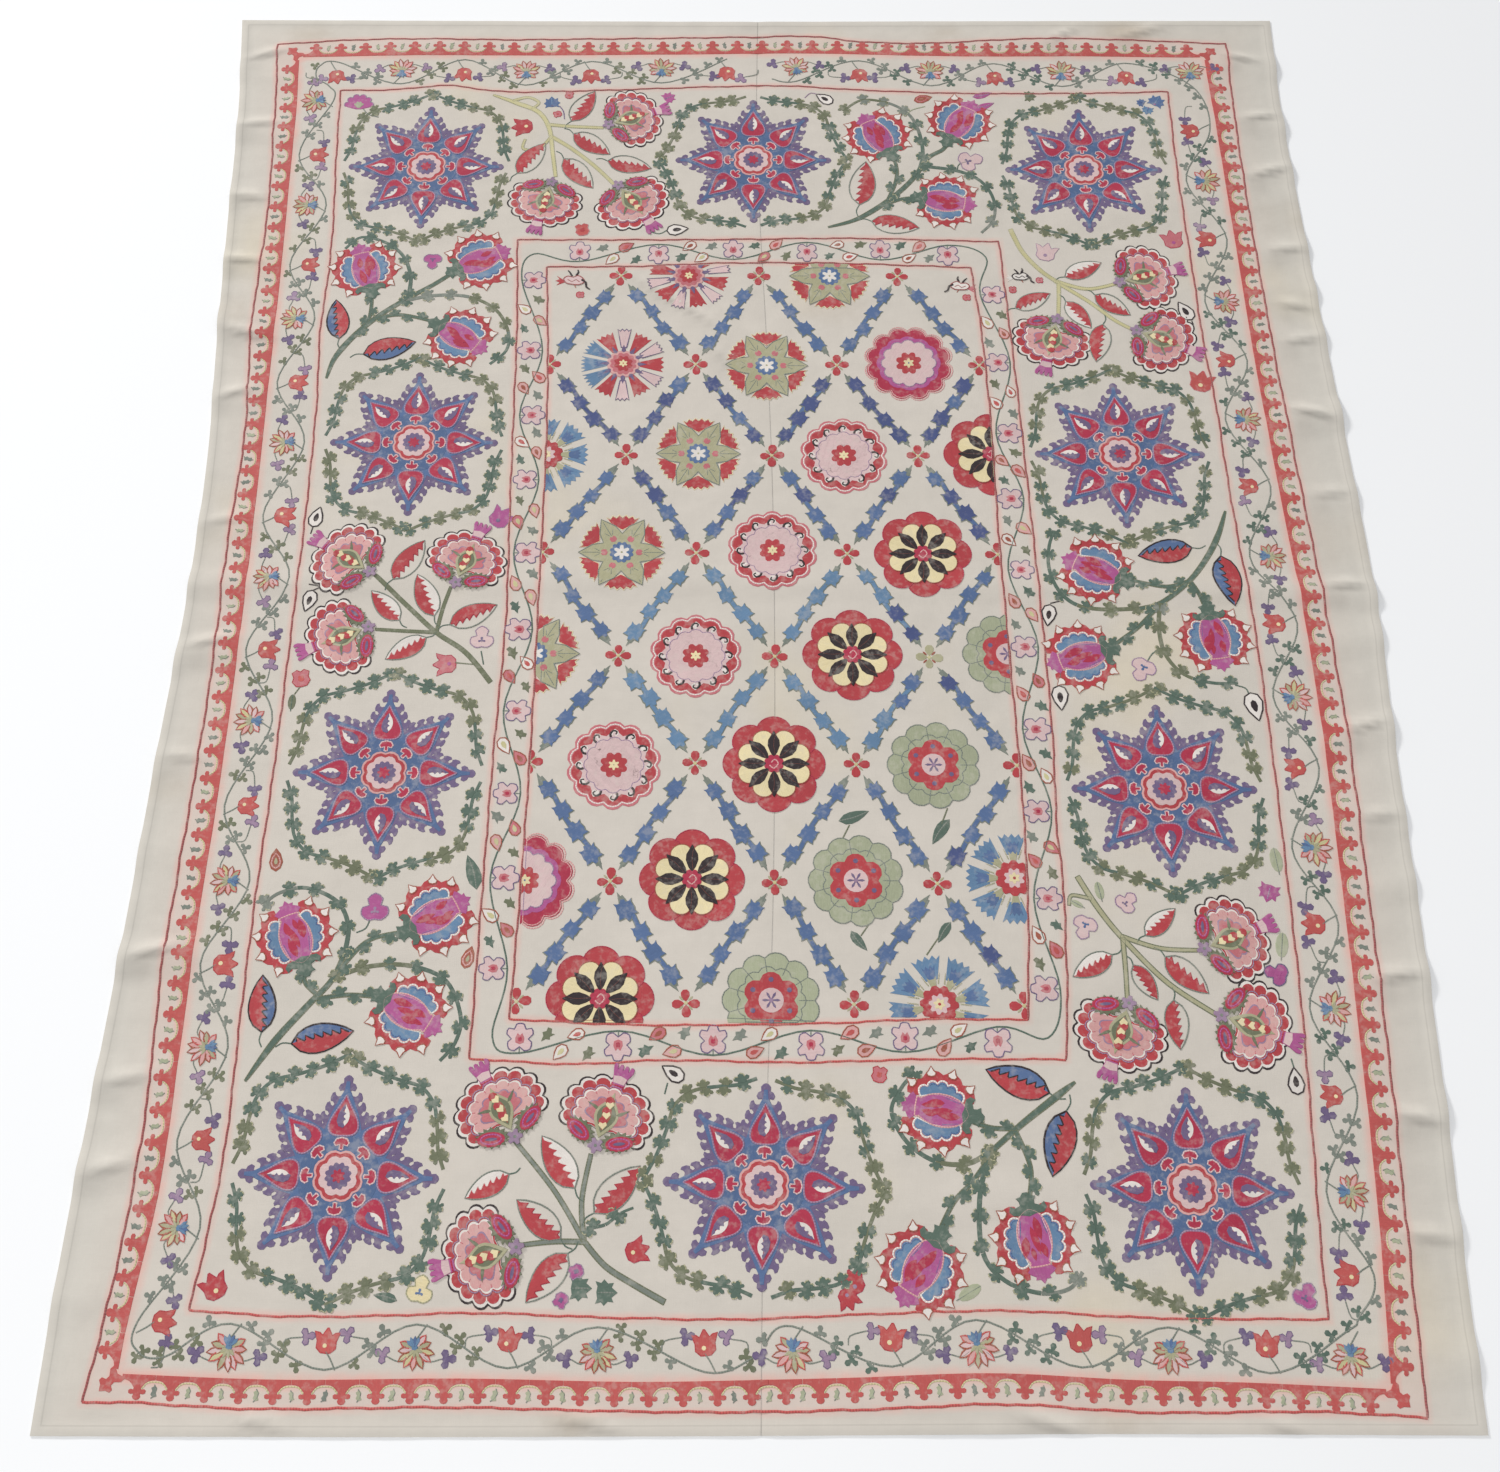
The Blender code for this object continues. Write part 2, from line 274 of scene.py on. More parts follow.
class Needle:
    """Works fills and lines at one place of the cloth, turned, sized and mirrored there."""

    def __init__(self, at=0, turn=0.0, size=1.0, flip=False, level=0, limit=None):
        self.at = at
        self.turn = turn
        self.size = size
        self.flip = flip
        self.level = level
        self.limit = limit

    def on_cloth(self, points):
        points = np.conj(np.asarray(points, complex)) if self.flip else np.asarray(points, complex)
        return self.at + points * polar(self.size, self.turn)

    def move(self, at=0, turn=0.0, size=1.0, flip=False, level=0):
        turned = self.turn + (-turn if self.flip else turn)
        place = complex(self.on_cloth(at))
        return Needle(place, turned, self.size * size, self.flip != flip, self.level + level, self.limit)

    def fill(self, colour, outline, level=0, grain=0.0, tone=None):
        outline = self.on_cloth(outline)
        if self.limit is not None:
            outline = cut_to(outline, self.limit)
        if len(outline) < 3:
            return
        outline = thinned(outline)
        angle = self.turn + (-grain if self.flip else grain)
        tone = dice.uniform(-1, 1) if tone is None else tone
        patches[colour].append(Patch(outline, self.level + level, angle, tone))

    def line(self, colour, points, width=2.0, level=0, closed=False, taper=0.0, tone=None):
        points = self.on_cloth(points)
        if closed:
            points = np.append(points, points[:1])
        if self.limit is not None:
            points = points[[inside(point, self.limit) for point in points]]
        if len(points) < 2:
            return
        points = thinned(points)
        t = np.linspace(0, 1, len(points))
        radii = width / 2 * (1 - taper * t)
        tone = dice.uniform(-1, 1) if tone is None else tone
        strands[colour].append(Strand(points, radii, self.level + level, tone))


def inside(point, limit):
    return all(((point - place) * normal.conjugate()).real >= 0 for place, normal in limit)


def cut_to(outline, limit):
    """The part of an outline that lies on the inner side of each straight limit."""
    for place, normal in limit:
        depth = ((outline - place) * np.conj(normal)).real
        kept = []
        for here, there, deep, next_deep in zip(outline, np.roll(outline, -1), depth, np.roll(depth, -1)):
            if deep >= 0:
                kept.append(here)
            if (deep >= 0) != (next_deep >= 0):
                kept.append(here + (there - here) * deep / (deep - next_deep))
        outline = np.array(kept, complex)
        if len(outline) < 3:
            return outline
    return outline


# The straight lines of the design: (place along the side, offset) pairs for each side
Frame = namedtuple("Frame", "left right near far")
OUTER_LINE = Frame(
    [(-922, -690), (-880, -684), (-800, -675), (-650, -666), (-450, -670), (-300, -665), (-200, -662),
     (-50, -660), (50, -662), (270, -660), (400, -669), (650, -671), (750, -677), (850, -683),
     (921, -690)],
    [(-922, 690), (-750, 697), (-550, 706), (-350, 711), (-150, 715), (0, 711), (100, 707), (200, 702),
     (400, 694), (600, 689), (800, 688), (924, 691)],
    [(-690, -922), (-640, -922), (-550, -926), (-300, -923), (-100, -925), (50, -923), (150, -919),
     (250, -914), (400, -920), (600, -918), (690, -922)],
    [(-690, 921), (-600, 929), (-400, 930), (-250, 932), (0, 936), (100, 937), (150, 929), (250, 925),
     (345, 929), (455, 932), (600, 929), (691, 924)],
)
BAND_LINE = Frame(
    [(-895, -657), (-870, -656), (-800, -649), (-730, -641), (-550, -637), (-400, -636), (-300, -633),
     (0, -631), (350, -637), (500, -640), (700, -646), (800, -649), (897, -655)],
    [(-895, 657), (-730, 669), (-550, 676), (-330, 682), (-170, 685), (0, 683), (150, 676), (350, 668),
     (600, 663), (750, 660), (898, 656)],
    [(-657, -894), (-500, -898), (-300, -895), (-100, -896), (10, -893), (100, -890), (250, -884),
     (400, -889), (500, -890), (657, -895)],
    [(-655, 897), (-500, 900), (-300, 901), (-100, 903), (100, 905), (250, 901), (550, 899), (656, 898)],
)
SECOND_LINE = Frame(
    [(-831, -591), (-750, -581), (-700, -576), (-500, -574), (-370, -573), (-250, -570), (-50, -568),
     (200, -568), (300, -570), (430, -577), (500, -575), (600, -577), (700, -583), (834, -589)],
    [(-828, 602), (-760, 604), (-650, 610), (-500, 617), (-350, 620), (-150, 622), (0, 620), (100, 615),
     (200, 611), (300, 609), (400, 603), (500, 601), (700, 597), (834, 598)],
    [(-591, -831), (-500, -836), (-400, -835), (-300, -831), (-150, -834), (0, -834), (100, -829),
     (280, -823), (400, -828), (602, -828)],
    [(-589, 834), (-500, 837), (-440, 844), (-360, 833), (-250, 834), (-50, 842), (50, 844), (150, 837),
     (250, 832), (480, 831), (598, 834)],
)
INNER_LINE = Frame(
    [(-563, -313), (-400, -311), (-200, -308), (0, -303), (150, -307), (300, -310), (430, -313),
     (568, -320)],
    [(-558, 349), (-500, 355), (-420, 359), (-350, 361), (-300, 359), (-180, 362), (0, 360), (150, 356),
     (350, 350), (500, 344), (567, 341)],
    [(-313, -563), (-200, -568), (-100, -563), (50, -564), (200, -559), (349, -558)],
    [(-320, 568), (0, 570), (100, 572), (341, 567)],
)
FIELD_LINE = Frame(
    [(-518, -271), (-420, -268), (-200, -264), (50, -264), (250, -265), (350, -268), (522, -277)],
    [(-514, 310), (-400, 318), (-250, 321), (-100, 318), (100, 314), (300, 313), (450, 307), (523, 300)],
    [(-271, -518), (-150, -523), (0, -522), (100, -519), (200, -514), (310, -514)],
    [(-277, 522), (-150, 524), (-50, 529), (100, 530), (200, 527), (300, 523)],
)
FRAMES = (OUTER_LINE, BAND_LINE, SECOND_LINE, INNER_LINE, FIELD_LINE)
SIDES = ("far", "left", "near", "right")
OUTWARD = {"far": 1j, "left": -1, "near": -1j, "right": 1}


def on_side(line, side, place):
    """The point of a frame's side at a place along it."""
    offset = eased(getattr(line, side), place)
    return place + 1j * offset if side in ("far", "near") else offset + 1j * place


def frame_depth(line, x, y):
    """Distance inside a frame, less than nothing outside it."""
    across = np.minimum(x - eased(line.left, y), eased(line.right, y) - x)
    return np.minimum(across, np.minimum(y - eased(line.near, x), eased(line.far, x) - y))


def side_places(line, side, spacing):
    start, end = getattr(line, side)[0][0], getattr(line, side)[-1][0]
    return np.linspace(start, end, max(2, round((end - start) / spacing)))


FRAME_STEP = 2.4


def frame_lines():
    """The stitched red lines that part the borders, beaded by their chain stitches."""
    for line, width in ((OUTER_LINE, 2.7), (SECOND_LINE, 2.5), (INNER_LINE, 2.5), (FIELD_LINE, 2.5)):
        for side in SIDES:
            points = on_side(line, side, side_places(line, side, FRAME_STEP))
            count = np.arange(len(points))
            wander = 0.5 * np.sin(count * 0.21) + 0.35 * np.sin(count * 0.67)
            colour = "scarlet" if side == "near" else "russet"
            Needle().line(colour, points + OUTWARD[side] * wander, width, tone=0.0)


# Stars in two columns of four, with two more on the middle line
Star = namedtuple("Star", "at turn gaps_at_sides")
STARS = [
    Star(-455 + 695j, 0.0, True), Star(5 + 708j, 0.0, False), Star(467 + 692j, 0.0, True),
    Star(-437 + 240j, 0.0, True), Star(477 + 227j, 0.0, True), Star(-437 - 222j, 0.0, True),
    Star(489 - 236j, 0.0, True), Star(-447 - 692j, -1.0, True), Star(14 - 697j, -1.5, False),
    Star(474 - 697j, -2.0, True),
]
NOTCH = polar(60, 22.5)
PETAL = mirrored([43, 43.5 + 8.6j, 46 + 13.6j, 51 + 16.2j, 58 + 15.6j, 66 + 12.0j, 75 + 6.6j, 83 + 2.2j,
                  87], 2)
ALMOND = smooth([56, 56, 61 - 4.4j, 68 - 6.2j, 75 - 4.6j, 82, 82, 76 + 0.8j, 69 + 1.4j, 61 + 1.0j], 2)
SPRIG = [55 + 0.4j, 57 + 6.0j, 63 + 8.6j, 71 + 7.2j, 78 + 3.4j, 82 + 0.2j, 77 - 1.2j, 74 + 1.4j, 71 - 2.2j,
         68 + 1.2j, 65 - 2.4j, 62 + 1.0j, 58 - 1.6j]
MUSHROOM = mirrored([28, 28 + 1.9j, 33.4 + 2.0j, 32.2 + 6.4j, 35.4 + 8.2j, 39.6 + 5.8j, 41.2])
BUD_TIP = [87 + 5.2j, 90 + 3.9j, 92.4 + 4.6j, 91.6 + 8.6j, 95.6 + 10.6j, 99.8 + 8.4j, 101.2 + 5.2j,
           106 + 5.6j, 109 + 2.8j]


def star(needle):
    """An eight-pointed star: toothed violet edge, blue body, red petals and a scalloped heart."""
    half = np.concatenate([teeth(NOTCH, 87 + 8.6j, 3, 7.4, 0.3, KNOB), BUD_TIP])
    arm = np.concatenate([np.conj(half), [110], half[::-1]])
    needle.fill("violet", np.concatenate([arm * polar(1, 45 * turn) for turn in range(8)]), 0, 45)
    narrow = np.array([polar(54, -22.5), 68 - 15.4j, 84 - 8j, 93 - 3.4j, 103 - 2.4j, 103 + 2.4j, 93 + 3.4j,
                       84 + 8j, 68 + 15.4j])
    needle.fill("blue", np.concatenate([narrow * polar(1, 45 * turn) for turn in range(8)]), 1, 20)
    needle.fill("blue", ring(45, 32), 2, 70, tone=-2)
    for turn in range(8):
        arm = needle.move(turn=45 * turn, level=3, flip=turn % 2 == 1)
        arm.fill("crimson", PETAL, 0, 0)
        arm.line("mauve", PETAL, 1.8, 1, closed=True)
        arm.fill("white", np.array(ALMOND) - 4, 1, 0)
        arm.fill("violet", np.array(SPRIG) - 4, 2, 0)
        arm.fill("crimson", MUSHROOM, 0, 0)
        arm.line("pale_pink", MUSHROOM, 1.7, 1, closed=True)
    heart = needle.move(level=3)
    heart.fill("pink", scalloped(26.0, 29.0, 8), 0, 0)
    heart.fill("red", scalloped(23.6, 26.6, 8), 1, 90)
    heart.fill("pale_pink", scalloped(19.6, 22.4, 8), 2, 0)
    heart.fill("violet", scalloped(13.0, 15.4, 12, 3), 3, 90)
    heart.fill("crimson", scalloped(5.6, 8.4, 7, 3), 4, 0)


WREATH_QUARTER = np.array([132j, 27 + 118j, 55 + 108j, 82 + 100j, 98 + 82j, 104 + 57j, 107 + 32j, 115 + 10j])
SPRIG_SIDE = [-5.4 + 0.6j, -5.6 + 3.0j, -9.0 + 3.6j, -10.4 + 6.4j, -8.0 + 8.6j, -4.6 + 7.4j, -4.0 + 10.4j,
              -0.8 + 12.2j, 2.4 + 10.6j, 3.2 + 7.8j, 6.4 + 9.4j, 9.2 + 7.4j, 8.0 + 4.4j, 5.0 + 3.2j,
              5.0 + 0.6j]


def along_path(path, spacing, start=0.0):
    """Points at even spacing along a path, with the path's direction there."""
    steps = np.abs(np.diff(path))
    run = np.concatenate([[0], np.cumsum(steps)])
    places = np.arange(start, run[-1], spacing)
    points = np.interp(places, run, path.real) + 1j * np.interp(places, run, path.imag)
    ahead = np.interp(places + 1, run, path.real) + 1j * np.interp(places + 1, run, path.imag)
    behind = np.interp(places - 1, run, path.real) + 1j * np.interp(places - 1, run, path.imag)
    return points, np.degrees(np.angle(ahead - behind))


def sprig(needle, colour, edge):
    """A small hooked leaf on one side of a stem."""
    needle.fill(colour, SPRIG_SIDE, 0, 90)
    needle.line(edge, [-9.6 + 5.6j, -7.4 + 8.4j, -4.2 + 7.6j], 1.2, 1)
    needle.line(edge, [-1.0 + 12j, 2.6 + 10.2j, 3.6 + 7.6j], 1.2, 1)


GREENS = ("teal", "moss", "teal", "teal", "moss")


def leafy_stem(needle, points, width=4.6, spacing=20.5, colours=GREENS, size=1.0, start=6.0, taper=0.0):
    """A stem with small hooked leaves to one side and the other, its green drifting as the thread changes."""
    path = smooth(points, 6, closed=False)
    points, directions = along_path(path, spacing, start)
    shift = dice.random() * 5
    for count, (point, direction) in enumerate(zip(points, directions)):
        colour = colours[int(count * 0.34 + shift) % len(colours)]
        for flip in (False, True):
            turn = direction + dice.uniform(-14, 14)
            at = point + polar(dice.uniform(-2.5, 2.5), direction)
            sprig(needle.move(at, turn, size * dice.uniform(0.74, 0.98), flip=flip, level=1), colour, "olive")
    third = len(path) // 3
    for start, end in ((0, third + 1), (third, 2 * third + 1), (2 * third, len(path))):
        colour = colours[int((start + third / 2) / len(path) * len(points) * 0.34 + shift) % len(colours)]
        needle.fill(colour, ribbon(path[start:end], width * (1 - taper * start / len(path)), taper / 3), 0,
                    directions[0])


def wreath(needle, gaps_at_sides):
    """A ring of leafy stem around a star, in four leaning stretches that don't quite meet."""
    turned = needle if gaps_at_sides else needle.move(turn=90)
    for flip_across in (False, True):
        for flip_along in (False, True):
            quarter = WREATH_QUARTER * dice.uniform(0.985, 1.015)
            quarter = -np.conj(quarter) if flip_across else quarter
            quarter = np.conj(quarter) if flip_along else quarter
            leafy_stem(turned, quarter)


def stars_and_wreaths():
    for spec in STARS:
        star(Needle(spec.at, spec.turn))
        wreath(Needle(spec.at, spec.turn), spec.gaps_at_sides)


# The toothed red band
HEAD_PITCH = 35.7
HEAD = [17.9, 17.9 + 5.4j, 13.8 + 5.8j, 10.2 + 7.0j, 7.4 + 9.4j, 4.4 + 13.0j, 4.4 + 14.6j, 7.4 + 14.0j,
        9.6 + 15.6j, 9.2 + 18.6j, 6.6 + 19.8j, 3.8 + 19.2j, 4.8 + 22.0j, 3.0 + 24.6j, 0.4 + 25.4j]
CORNER_HEAD = [-9 - 3j, 0, 9 - 3j, 9.5 + 3j, 4.5 + 8j, 4.6 + 12j, 9 + 14j, 9 + 18j, 4.6 + 20j, 25j,
               -4.6 + 20j, -9 + 18j, -9 + 14j, -4.6 + 12j, -4.5 + 8j, -9.5 + 3j]


def band_head(needle, colour="scarlet"):
    half = np.array(HEAD)
    outline = np.concatenate([half, -np.conj(half[::-1])])
    needle.fill(colour, outline, 0, 90, tone=dice.uniform(-0.6, 0.6))


def band_gap(needle):
    """The faint arch and the small green dot between two heads of the band."""
    arch = [-13.0 + 14j, -10.0 + 9.6j, -6 + 7.4j, 6.8j, 6 + 7.4j, 10.0 + 9.6j, 13.0 + 14j]
    needle.line("straw", smooth(arch, 2, closed=False), 1.4)
    bud = [-5.4 + 0.6j, -3.4 + 3.2j, 0.6 + 2.2j, 4.2 + 3.6j, 5.6 - 0.4j, 2.6 - 3.2j, -0.6 - 1.8j, -3.4 - 3.0j]
    colour = dice.choice(("sage", "grey_green", "sage"))
    loop = needle.move(dice.uniform(-1, 1) + 16j, 90 + dice.uniform(-15, 15), dice.uniform(0.9, 1.1))
    loop.fill(colour, bud, 0, 0)
    loop.line("grey_green", [-6, -2 + 2.4j, 3 + 1.0j, 6 - 2j], 1.3)


def red_band():
    """Trefoil heads on a strip, around all four sides."""
    for side in SIDES:
        start, end = getattr(BAND_LINE, side)[0][0], getattr(BAND_LINE, side)[-1][0]
        count = round((end - start - 10) / HEAD_PITCH)
        pitch = (end - start - 10) / count
        outward = OUTWARD[side]
        for step in range(count):
            place = start + 5 + (step + 0.5) * pitch
            at = on_side(BAND_LINE, side, place)
            ahead = on_side(BAND_LINE, side, place + 8) - on_side(BAND_LINE, side, place - 8)
            turn = math.degrees(cmath.phase(ahead if (ahead * 1j / outward).real > 0 else -ahead))
            band_head(Needle(at, turn, pitch / HEAD_PITCH))
            if step:
                gap_at = on_side(BAND_LINE, side, place - pitch / 2)
                band_gap(Needle(gap_at, turn))
    for left_or_right in ("left", "right"):
        for near_or_far in ("near", "far"):
            along, across = getattr(BAND_LINE, left_or_right), getattr(BAND_LINE, near_or_far)
            corner = complex(along[-1 if near_or_far == "far" else 0][1],
                             across[0 if left_or_right == "left" else -1][1])
            outward = OUTWARD[left_or_right] + OUTWARD[near_or_far]
            turn = math.degrees(cmath.phase(outward)) - 90
            Needle(corner, turn).fill("scarlet", CORNER_HEAD, 0, 90)



# The lattice field: crosses at its corners, sprigged bars along its sides, rosettes in its squares
CROSS_ROWS = [
    (508, (-175, 12, 200)), (363, (-266, -72, 115, 303)), (223, (-160, 28, 217)),
    (79, (-262, -68, 122, 311)), (-65, (-162, 30, 219)), (-207, (-264, -66, 126, 317)),
    (-355, (-163, 28, 216)), (-498, (-264, -73, 116, 307)),
]
ROSETTES = [
    ("plain_fans", -83 + 508j, -15), ("olive_star", 108 + 508j, 0), ("fans", -168 + 363j, 0),
    ("olive_star", 22 + 362j, 0), ("rose_ring", 210 + 366j, 0), ("blue_fans", -264 + 223j, 0),
    ("olive_star", -67 + 225j, 0), ("hooked_ring", 121 + 223j, 0), ("daisy", 311 + 223j, 0),
    ("olive_star", -162 + 79j, 0), ("hooked_ring", 28 + 83j, 0), ("daisy", 217 + 76j, 0),
    ("olive_star", -264 - 63j, 0), ("hooked_ring", -67 - 65j, 0), ("daisy", 125 - 65j, 0),
    ("sage_wheel", 315 - 63j, 0), ("hooked_ring", -163 - 210j, 0), ("daisy", 28 - 210j, 0),
    ("sage_wheel", 218 - 210j, 0), ("rose_ring", -262 - 355j, 0), ("daisy", -68 - 355j, 0),
    ("sage_wheel", 122 - 355j, 0), ("blue_fans", 305 - 348j, 0), ("daisy", -170 - 497j, 0),
    ("sage_wheel", 23 - 497j, 0), ("blue_fans", 212 - 497j, 15),
]
BAR_SIDE = [-13 + 2.2j, -9.0 + 3.6j, -8.8 + 6.6j, -10.8 + 10.4j, -6.4 + 9.2j, -3.2 + 9.8j, 0.4 + 10.4j,
            4.0 + 9.4j, 8.6 + 11.4j, 8.8 + 7.0j, 8.6 + 4.0j, 13 + 2.2j]


def field_needle(at, turn=0.0, size=1.0):
    """A needle whose work is cut off at the field's own line."""
    gap = 1.2
    limit = [
        (complex(on_side(FIELD_LINE, "left", at.imag)) + gap, 1),
        (complex(on_side(FIELD_LINE, "right", at.imag)) - gap, -1),
        (complex(on_side(FIELD_LINE, "near", at.real)) + gap * 1j, 1j),
        (complex(on_side(FIELD_LINE, "far", at.real)) - gap * 1j, -1j),
    ]
    return Needle(at, turn, size, limit=limit)


def fan(low, high, half_angle, count, notch=3.4, foot=0.85):
    """A wedge with a fringed outer edge, its inner end as wide as foot allows."""
    rim = [polar(high - (notch if step % 2 else 0), half_angle * (step / count - 1))
           for step in range(2 * count + 1)]
    return np.array([polar(low, -half_angle * foot)] + rim + [polar(low, half_angle * foot)])


def cross(needle, leaves="olive", petals="red"):
    """Four red petals with a yellow heart and small diagonal leaves."""
    petal = mirrored([1.5, 3.5 + 2.4j, 8 + 5.2j, 12.5 + 5.2j, 15.8 + 2.4j])
    for quarter in range(4):
        arm = needle.move(turn=90 * quarter + dice.uniform(-7, 7), size=dice.uniform(0.92, 1.08))
        arm.fill(petals, petal, 0, 0)
        needle.move(polar(3.5, 45 + 90 * quarter), 45 + 90 * quarter).fill(leaves, leaf(8, 3.4, 0.5, 3), 0, 0)
    needle.fill("straw", ring(2.6, 8), 1)


def bar_colour(point):
    """The blue thread in use at a place: paler in the middle, darkest to the right."""
    if -150 < point.real < 180 and -190 < point.imag < 85:
        return "light_blue"
    if point.real > 180 and point.imag < 335:
        return "navy" if dice.random() < 0.5 else "blue"
    if 150 < point.imag < 345 and dice.random() < 0.6:
        return "navy"
    return "blue"


def bar(start, end):
    """A diagonal bar between two crosses: four horned blue leaves on one stem, with thorns at its ends."""
    run = end - start
    turn = math.degrees(cmath.phase(run))
    needle = field_needle(start + run * 0.5)
    stem = start + run * np.linspace(0.13, 0.87, 14)
    aside = 1j * run / abs(run)
    stem = stem + aside * 2.2 * np.sin(np.linspace(0, 3 * math.pi, 14))
    work = Needle(limit=needle.limit)
    work.fill("grey_green", ribbon(stem, 7.6), 0, 0)
    work.fill(bar_colour(start + run * 0.5), ribbon(stem[1:-1], 6.0), 1, 0)
    for tip, toward in ((0.09, turn), (0.91, turn + 180)):
        thorn = Needle(start + run * tip, toward + dice.uniform(-9, 9), limit=needle.limit)
        thorn.fill("grey_green", mirrored([0, 8 + 2.2j, 16 + 4.4j, 20 + 2j]), 1, 0)
    for share in (0.235, 0.415, 0.595, 0.775):
        at = start + run * (share + dice.uniform(-0.012, 0.012)) + aside * dice.uniform(-2.5, 2.5)
        side = np.array(BAR_SIDE)
        other = np.conj(side[::-1]) * dice.uniform(0.9, 1.1)
        outline = np.concatenate([side, other])
        sprig = Needle(at, turn + dice.uniform(-9, 9), dice.uniform(0.86, 1.0), dice.random() < 0.5,
                       limit=needle.limit)
        sprig.fill("grey_green", outline * 1.06 + 0.5 + 0.5j, 1, 90)
        sprig.fill(bar_colour(at), outline, 2, 90)


def fans(needle, blue_side=True):
    """Red and pale fringed fans about a rose heart, with a blue run where the thread changed."""
    for step in range(12):
        arm = needle.move(turn=30 * step)
        facing = (needle.turn + 30 * step) % 360
        if blue_side and 140 < facing < 220:
            arm.fill("light_blue", fan(22, 57, 12.2, 4, 6.0), 0, 0)
            arm.fill("blue", fan(22, 40, 8, 3, 6.0), 1, 0)
        elif step % 2 == 0:
            arm.fill("red", fan(22, 54.5, 13, 3, 4.2), 0, 0)
        else:
            wedge = fan(27, 57, 9.0, 3, 3.4)
            arm.fill("pale_pink", wedge, 0, 0)
            arm.line("violet", wedge, 1.8, 1, closed=True)
        arm.fill("violet", leaf(16, 6.5, 0.3, 4) + 16, 1, 0)
    rose_heart(needle)


def plain_fans(needle):
    fans(needle, blue_side=False)


def rose_heart(needle, outer="rose", inner="red"):
    needle.fill("pink", scalloped(19, 22, 12, 3), 2, 0)
    needle.fill(outer, scalloped(16, 18.5, 12, 3), 3, 0)
    needle.fill(inner, scalloped(10.5, 13.5, 8, 3), 4, 90)
    needle.fill("cream", scalloped(4.2, 6.6, 6, 3), 5, 0)
    needle.fill("scarlet", ring(1.6, 6), 6)


def blue_fans(needle):
    for step in range(8):
        arm = needle.move(turn=45 * step)
        arm.fill("light_blue", fan(29, 58 - dice.uniform(0, 3), 17.5, 4, 5.0, 0.8), 0, 0)
        arm.fill("blue", fan(29, 46, 10, 3, 4.0, 0.8), 1, 0)
        arm.fill("olive", fan(19, 33, 10, 2, 3.0), 1, 0)
        for way in (-1, 1):
            arm.line("olive", [24 * polar(1, 14 * way), 36 * polar(1, 17 * way)], 1.4, 1, taper=0.6)
    needle.fill("red", scalloped(18.5, 22.5, 10, 3), 2, 0)
    needle.fill("pale_pink", scalloped(9.5, 13, 8, 3), 3, 90)
    needle.fill("cream", scalloped(5, 7.5, 6, 3), 4, 0)
    needle.fill("red", ring(2.4, 7), 5)


def olive_star(needle):
    """A six-pointed olive star over serrated red fans."""
    for step in range(6):
        arm = needle.move(turn=60 * step + 30)
        fringe = np.concatenate([[32], fan(43, 53.5, 22.5, 5, 3.6, 0.86)])
        arm.fill("red", fringe, 0, 90)
        arm.line("cream", fringe * 1.01 + 0.3, 1.3, 0, closed=True)
    half = np.array([polar(27, -30), 37 - 11.4j, 45 - 6.2j, 54.5, 45 + 6.2j, 37 + 11.4j])
    body = np.concatenate([half * polar(1, 60 * step) for step in range(6)])
    needle.fill("olive", body, 1, 60)
    needle.line("grey_green", body, 1.6, 2, closed=True)
    for step in range(6):
        arm = needle.move(turn=60 * step)
        heart = mirrored([17, 19 + 4.4j, 24 + 4.8j, 27 + 1.8j, 25])
        arm.fill("rose", heart, 2, 0)
        arm.line("grey_green", [28, 49], 1.0, 2)
        arm.line("grey_green", [34 + 5.5j, 28 + 2j], 0.9, 2)
        arm.line("grey_green", [34 - 5.5j, 28 - 2j], 0.9, 2)
    needle.fill("blue", scalloped(13.6, 16.0, 12, 3), 2, 90)
    needle.fill("white", scalloped(5.8, 11.2, 6, 4), 3, 0)
    needle.line("light_blue", scalloped(5.8, 11.2, 6, 4), 1.0, 3, closed=True)
    needle.fill("olive", ring(2.0, 7), 4)


def hooked_ring(needle):
    """A red scalloped ring, black and white hooks, a pale disc and a red flower."""
    rim = scalloped(52.5, 57.5, 14, 4)
    needle.fill("rose", rim, 0, 90)
    needle.fill("red", rim * 0.90, 1, 90)
    needle.line("white", rim * 0.925, 1.5, 1, closed=True)
    inner = scalloped(39.0, 43.0, 12, 4, 15)
    needle.fill("pale_pink", inner, 2, 0)
    for step in range(12):
        arm = needle.move(turn=30 * step)
        arm.fill("white", leaf(12, 11, 0.5, 4) + 35.5, 2, 90)
        hook = smooth([36 + 4.5j, 40 + 5.4j, 44.5 + 2.0j, 43.0 - 2.6j, 39.6 - 1.2j], 2, closed=False)
        arm.line("black", hook, 3.2, 3, taper=0.45)
    disc = scalloped(32.5, 36.0, 12, 4, 15)
    needle.fill("pale_pink", disc, 2, 60)
    needle.line("mauve", disc, 1.2, 3, closed=True)
    needle.fill("red", scalloped(13.5, 17.5, 8, 4), 3, 90)
    needle.fill("cream", scalloped(4.5, 7.5, 6, 3), 4, 0)
    needle.fill("olive", ring(1.4, 6), 5)


